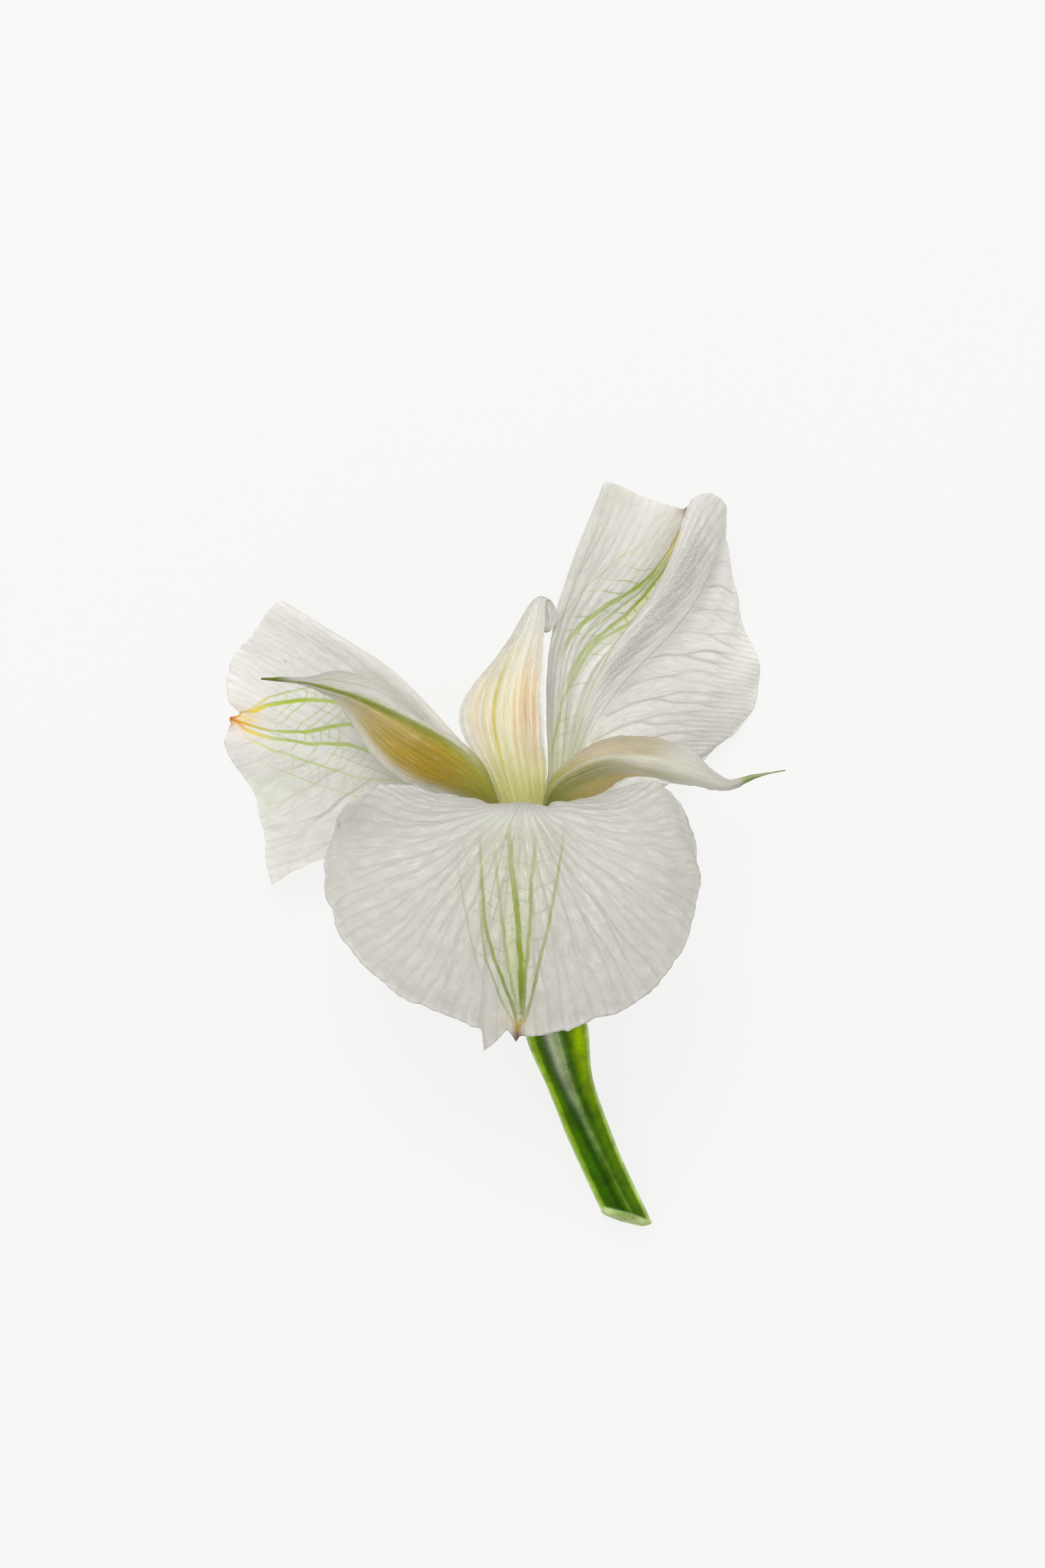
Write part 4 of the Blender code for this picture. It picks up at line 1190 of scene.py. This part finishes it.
stalk = {
    "spine": (
        (16.6, -49.0, 2.9), (15.15, -45.6, 3.0), (13.5, -42.2, 3.3), (11.55, -38.0, 3.9), (9.95, -34.2, 4.7),
        (8.5, -30.4, 5.4), (7.25, -26.6, 6.3), (6.25, -22.4, 7.2), (5.45, -18.6, 7.9),
    ),
    "radii": (2.45, 2.5, 2.55, 2.6, 2.75, 2.85, 3.25, 4.1, 4.0, 2.85),
    "length": 34.0,
    "ribs": 6,
    "ribTurn": 24.0,
    "ribTwist": 27.0,
    "ribDepth": 0.11,
    "cutPoint": (15.0, -44.7, 2.5),
    "cutNormal": (-0.25, -0.94, 0.22),
    "steps": 600,
    "cutSteps": 200,
    "rings": 200,
    "sides": 144,
    "capRings": (
        (0.985, 0.14), (0.95, 0.28), (0.89, 0.42), (0.80, 0.52),
        (0.66, 0.50), (0.48, 0.44), (0.28, 0.46), (0.1, 0.48),
    ),
}


def stalkMaterial():
    material, tree = newMaterial("ribbedGreenStalk")
    where = place(tree, "ShaderNodeTexCoord").outputs["Object"]
    crest, ringAt, _ = readVector(tree, "rib")
    # long cells run up the stalk, so the grain is drawn out along it
    grainAt = place(tree, "ShaderNodeCombineXYZ", {0: times(tree, crest, 16.0), 1: ringAt}).outputs[0]
    grain = noise(tree, grainAt, 3.0, 5.0, 0.6)
    mottle = noise(tree, where, 520.0, 5.0, 0.6)
    body = readColour(tree, "toneAndPaintedLight")
    for pattern, dark, bright in ((mottle, 0.70, 1.25), (grain, 0.82, 1.12)):
        body = mixColours(tree, 1.0, body, ramp(tree, pattern, 0.3, 0.7, dark, bright), "MULTIPLY")
    relief = maths(tree, "ADD", times(tree, grain, 0.08), times(tree, mottle, 0.06))
    showSurface(tree, place(tree, "ShaderNodeBsdfPrincipled", {
        "Base Color": body,
        "Roughness": ramp(tree, mottle, 0.3, 0.7, 0.45, 0.62),
        "Normal": bump(tree, relief),
        "Specular IOR Level": 0.05,
        "Subsurface Weight": 0.15,
        "Subsurface Radius": (0.001, 0.0014, 0.0004),
    }))
    return material


def stalkGrid():
    # rings of points from the middle of the cut to the claws, and how far up the stalk each ring is
    axis = funnel["middle"] - funnel["base"]
    axis /= np.linalg.norm(axis)
    numbers = np.arange(stalk["steps"])
    steps = np.linspace(0, 1, stalk["steps"])
    spine = splineAt([*stalk["spine"], funnel["base"] - funnel["joinGap"] * axis], steps)
    radii = splineAt(stalk["radii"], steps)
    turn = np.radians(stalk["ribTurn"] + stalk["ribTwist"] * (1.0 - steps))[:, None]

    def ribbed(angles):
        crest = 0.5 + 0.5 * np.cos(stalk["ribs"] * (angles - turn))
        return 1.0 - stalk["ribDepth"] * (1.0 - crest**1.5)

    whole = tubeGrid(spine, radii, stalk["sides"], ribbed)
    # each line of the stalk starts where it crosses the plane of the cut
    normal = np.array(stalk["cutNormal"]) / np.linalg.norm(stalk["cutNormal"])
    past = ((whole - np.array(stalk["cutPoint"])) @ normal)[: stalk["cutSteps"]]
    start = np.array([np.interp(0.0, -line, numbers[: stalk["cutSteps"]]) for line in past.T])
    at = start + (numbers[-1] - start) * np.linspace(0, 1, stalk["rings"])[:, None]
    lines = np.empty((stalk["rings"], stalk["sides"], 3))
    for side, part in np.ndindex(stalk["sides"], 3):
        lines[:, side, part] = np.interp(at[:, side], numbers, whole[:, side, part])
    rim = lines[0]
    centre = rim.mean(axis=0)
    cap = [centre + (rim - centre) * scale + normal * lift for scale, lift in reversed(stalk["capRings"])]
    up = np.concatenate([np.full(len(cap), at[0].mean()), at.mean(axis=1)]) / numbers[-1]
    return np.concatenate([cap, lines]), up, radii.mean()


def stalkToneAndPaintedLight(grid, up, onCap, degrees, meanRadius):
    # degrees from the ridge that faces up, which turns to the right on its way down
    aside = degrees - (240.0 + stalk["ribTurn"] + stalk["ribTwist"] * (1.0 - up))
    low, high = fall(0.25, 0.55, up), smooth(0.45, 0.80, up)
    # how far each point is to the left or right as seen from above, for the painted rim light down both
    # flanks
    middle = grid.mean(axis=1, keepdims=True)
    heading = np.gradient(middle[:, 0, :2], axis=0)
    leftward = np.stack([-heading[:, 1], heading[:, 0]], -1)[:, None]
    flank = ((grid - middle)[..., :2] * leftward * np.sign(heading[-1, 1])).sum(-1)
    flank = flank / np.maximum(np.abs(flank).max(axis=1, keepdims=True), 1e-6)
    upper = smooth(-0.5, 0.0, (grid - middle)[..., 2] / meanRadius) * (1.0 - onCap)
    leftRimLight, rightRimLight = smooth(0.66, 0.80, flank) * upper, smooth(0.78, 0.88, -flank) * upper
    # the stalk's greens, with painted sheen, a painted highlight and painted rim light among them
    return coats(
        grid.shape, (0.078, 0.175, 0.0),
        ((0.013, 0.062, 0.0), 0.95 * bell(aside, -22.0, 17.0)),
        ((0.026, 0.115, 0.0), 0.8 * low * bell(aside, -46.0, 14.0)),
        ((0.030, 0.10, 0.0), 0.8 * bell(aside, 14.0, 8.0)),
        ((0.07, 0.15, 0.002), 0.7 * low * bell(aside, 26.0, 14.0)),
        ((0.32, 0.50, 0.0), 0.95 * high * bell(aside, 42.0, 16.0)),
        # painted sheen: a whitish reflection left of the ridge near the top
        ((0.56, 0.60, 0.42), 0.8 * high * bell(aside, -13.0, 12.0)),
        # the painted sheen's fainter tail beside the ridge, further down
        ((0.30, 0.40, 0.17), 0.45 * smooth(0.30, 0.50, up) * bell(aside, -6.0, 7.0)),
        # the pale crest of the ridge, with a painted highlight on it towards the top
        ((0.42, 0.52, 0.24), (0.18 + 0.45 * high) * bell(aside, 0.0, 2.0)),
        # painted rim light: pale rims down both flanks, as of light through the thin edges
        ((0.30, 0.50, 0.02), 0.8 * leftRimLight),
        ((0.50, 0.64, 0.22), 0.8 * leftRimLight * smooth(0.84, 0.97, flank)),
        ((0.32, 0.48, 0.06), 0.8 * rightRimLight),
        ((0.54, 0.66, 0.30), 0.8 * rightRimLight * smooth(0.86, 0.96, -flank)),
        ((0.34, 0.44, 0.12), 0.4 * smooth(0.95, 1.0, up)),
        ((0.50, 0.60, 0.26), 0.9 * onCap),
        ((0.22, 0.36, 0.04), 0.7 * onCap * bell(aside, -20.0, 26.0)),
        ((0.55, 0.66, 0.32), 0.6 * bell(up, up[0], 0.005) * (1.0 - onCap)),
    )


def makeStalk():
    grid, up, meanRadius = stalkGrid()
    up = up[:, None] * np.ones(stalk["sides"])
    degrees = np.linspace(0.0, 360.0, stalk["sides"], endpoint=False) * np.ones_like(up)
    onCap = np.zeros_like(up)
    onCap[: len(stalk["capRings"])] = 1.0
    mesh = tubeMesh("stalkWithOvary", seated(grid))
    writeColours(mesh, "toneAndPaintedLight", stalkToneAndPaintedLight(grid, up, onCap, degrees, meanRadius))
    writeVectors(mesh, "rib", (degrees / (360.0 / stalk["ribs"]), up * stalk["length"], 0.0))
    addPiece("stalkWithOvary", mesh, stalkMaterial(), "stalk", "stalk_with_ovary")


makeStalk()


# stamens and the style, deep in the funnel

stamen = {
    "count": 6,
    "ring": (0.7, 0.9, 0.95),
    "filament": 0.16,
    "anther": 0.38,
    "antherLength": 2.6,
    "furrow": 0.3,
    "reaches": (0.4, 0.5, 0.45),
    "rings": 90,
    "sides": 20,
}

style = {
    "radius": 0.17,
    "reach": 0.45,
    "swell": 0.5,
    "lobes": 3,
    "lobeDepth": 0.12,
    "rings": 60,
    "sides": 18,
}


def fineMaterial(name, low, high, rough, scale):
    material, tree = newMaterial(name)
    where = place(tree, "ShaderNodeTexCoord").outputs["Object"]
    grain = noise(tree, where, scale, 4.0, 0.6)
    showSurface(tree, place(tree, "ShaderNodeBsdfPrincipled", {
        "Base Color": mixColours(tree, ramp(tree, grain, 0.3, 0.7), low, high),
        "Roughness": rough,
        "Normal": bump(tree, times(tree, grain, 0.08)),
        "Subsurface Weight": 0.2,
        "Subsurface Radius": (0.0008, 0.0006, 0.0003),
    }))
    return material


def intoThroat(reach):
    # how far a stamen or the style rises past the middle of the funnel
    return funnel["middle"] + reach * (funnel["throat"] - funnel["middle"])


def makeStamen(number, material):
    tip = intoThroat(stamen["reaches"][number % 3])
    centres = (funnel["base"], funnel["middle"], tip)
    angle = 360.0 * (number + 0.5) / stamen["count"]
    path = [ringPoint(centre, radius, angle) for centre, radius in zip(centres, stamen["ring"])]
    spine = splineAt(path, np.linspace(0, 1, stamen["rings"]))
    pastTip = np.linalg.norm(spine - spine[-1], axis=1) / stamen["antherLength"]
    bulge = np.sqrt(np.clip(1.0 - (2.0 * pastTip - 1.0) ** 2, 0.0, 1.0))
    radii = stamen["filament"] + (stamen["anther"] - stamen["filament"]) * bulge

    def furrowed(angles):
        # two pollen sacs with a furrow on each side
        return 1.0 - stamen["furrow"] * bulge[:, None] * (0.5 - 0.5 * np.cos(2.0 * angles))

    name = f"stamen{number + 1}"
    mesh = tubeMesh(name, seated(tubeGrid(spine, radii, stamen["sides"], furrowed)))
    addPiece(name, mesh, material, "stamen", f"stamen_{number + 1}")


def makeStyle():
    steps = np.linspace(0, 1, style["rings"])
    spine = splineAt([funnel["base"], funnel["middle"], intoThroat(style["reach"])], steps)
    radii = style["radius"] * (1.0 + style["swell"] * smooth(0.9, 1.0, steps))
    lobed = lambda angles: 1.0 + style["lobeDepth"] * np.cos(style["lobes"] * angles)
    mesh = tubeMesh("stylePiece", seated(tubeGrid(spine, radii, style["sides"], lobed)))
    pale = fineMaterial("stylePale", (0.70, 0.72, 0.46, 1), (0.84, 0.85, 0.68, 1), 0.5, 3000.0)
    addPiece("style", mesh, pale, "style", "style")


pollen = fineMaterial("pollenYellow", (0.55, 0.44, 0.14, 1), (0.74, 0.64, 0.30, 1), 0.75, 4200.0)
for number in range(stamen["count"]):
    makeStamen(number, pollen)
makeStyle()


# floor, light and camera

studio = {
    "floor": (0.912, 0.912, 0.899, 1.0),
    "floorHalf": 3.0,
    "floorGlow": 0.92,
    "sky": (1.0, 1.0, 0.995, 1.0),
    "skyStrength": 0.86,
    "lightsAimAt": (0.0, 0.0, 0.01),
    # each soft panel's name, place, side and power
    "panels": (
        ("keyPanel", (-0.10, 0.45, 0.65), 0.40, 3.8),
        ("fillPanel", (-0.50, -0.30, 0.55), 0.60, 0.5),
    ),
    "cameraAt": (1.92, 8.16, 612.0),
    "lens": 114.8,
    "sensor": 36.0,
}


def addToScene(name, data):
    made = bpy.data.objects.new(name, data)
    bpy.context.scene.collection.objects.link(made)
    return made


def makeFloor():
    half = studio["floorHalf"]
    corners = [(-half, -half, 0), (half, -half, 0), (half, half, 0), (-half, half, 0)]
    mesh = bpy.data.meshes.new("paleFloor")
    mesh.from_pydata(corners, [], [(0, 1, 2, 3)])
    material, tree = newMaterial("palePaper")
    plain = place(tree, "ShaderNodeBsdfDiffuse", {"Color": studio["floor"]})
    glow = place(tree, "ShaderNodeEmission", {"Color": studio["floor"], "Strength": 1.0})
    showSurface(tree, mixShaders(tree, studio["floorGlow"], plain, glow))
    mesh.materials.append(material)
    floor = addToScene("paleFloor", mesh)
    print("floor laid")


def makeLight():
    world = bpy.data.worlds.new("studioSky")
    bpy.context.scene.world = world
    world.use_nodes = True
    background = world.node_tree.nodes["Background"]
    background.inputs["Color"].default_value = studio["sky"]
    background.inputs["Strength"].default_value = studio["skyStrength"]
    for name, where, side, power in studio["panels"]:
        light = bpy.data.lights.new(name, "AREA")
        light.shape = "RECTANGLE"
        light.size = light.size_y = side
        light.energy = power
        lamp = addToScene(name, light)
        lamp.location = where
        direction = mathutils.Vector(np.subtract(studio["lightsAimAt"], where))
        lamp.rotation_euler = direction.to_track_quat("-Z", "Y").to_euler()
    print("sky and soft panels lit")


def makeCamera():
    # straight above the flower
    scene = bpy.context.scene
    scene.view_settings.view_transform = "Standard"
    camera = bpy.data.cameras.new("camera")
    camera.sensor_fit = "VERTICAL"
    camera.sensor_height = studio["sensor"]
    camera.lens = studio["lens"]
    scene.camera = addToScene("camera", camera)
    scene.camera.location = seated(np.array(studio["cameraAt"]))
    print("camera placed")


makeFloor()
makeLight()
makeCamera()
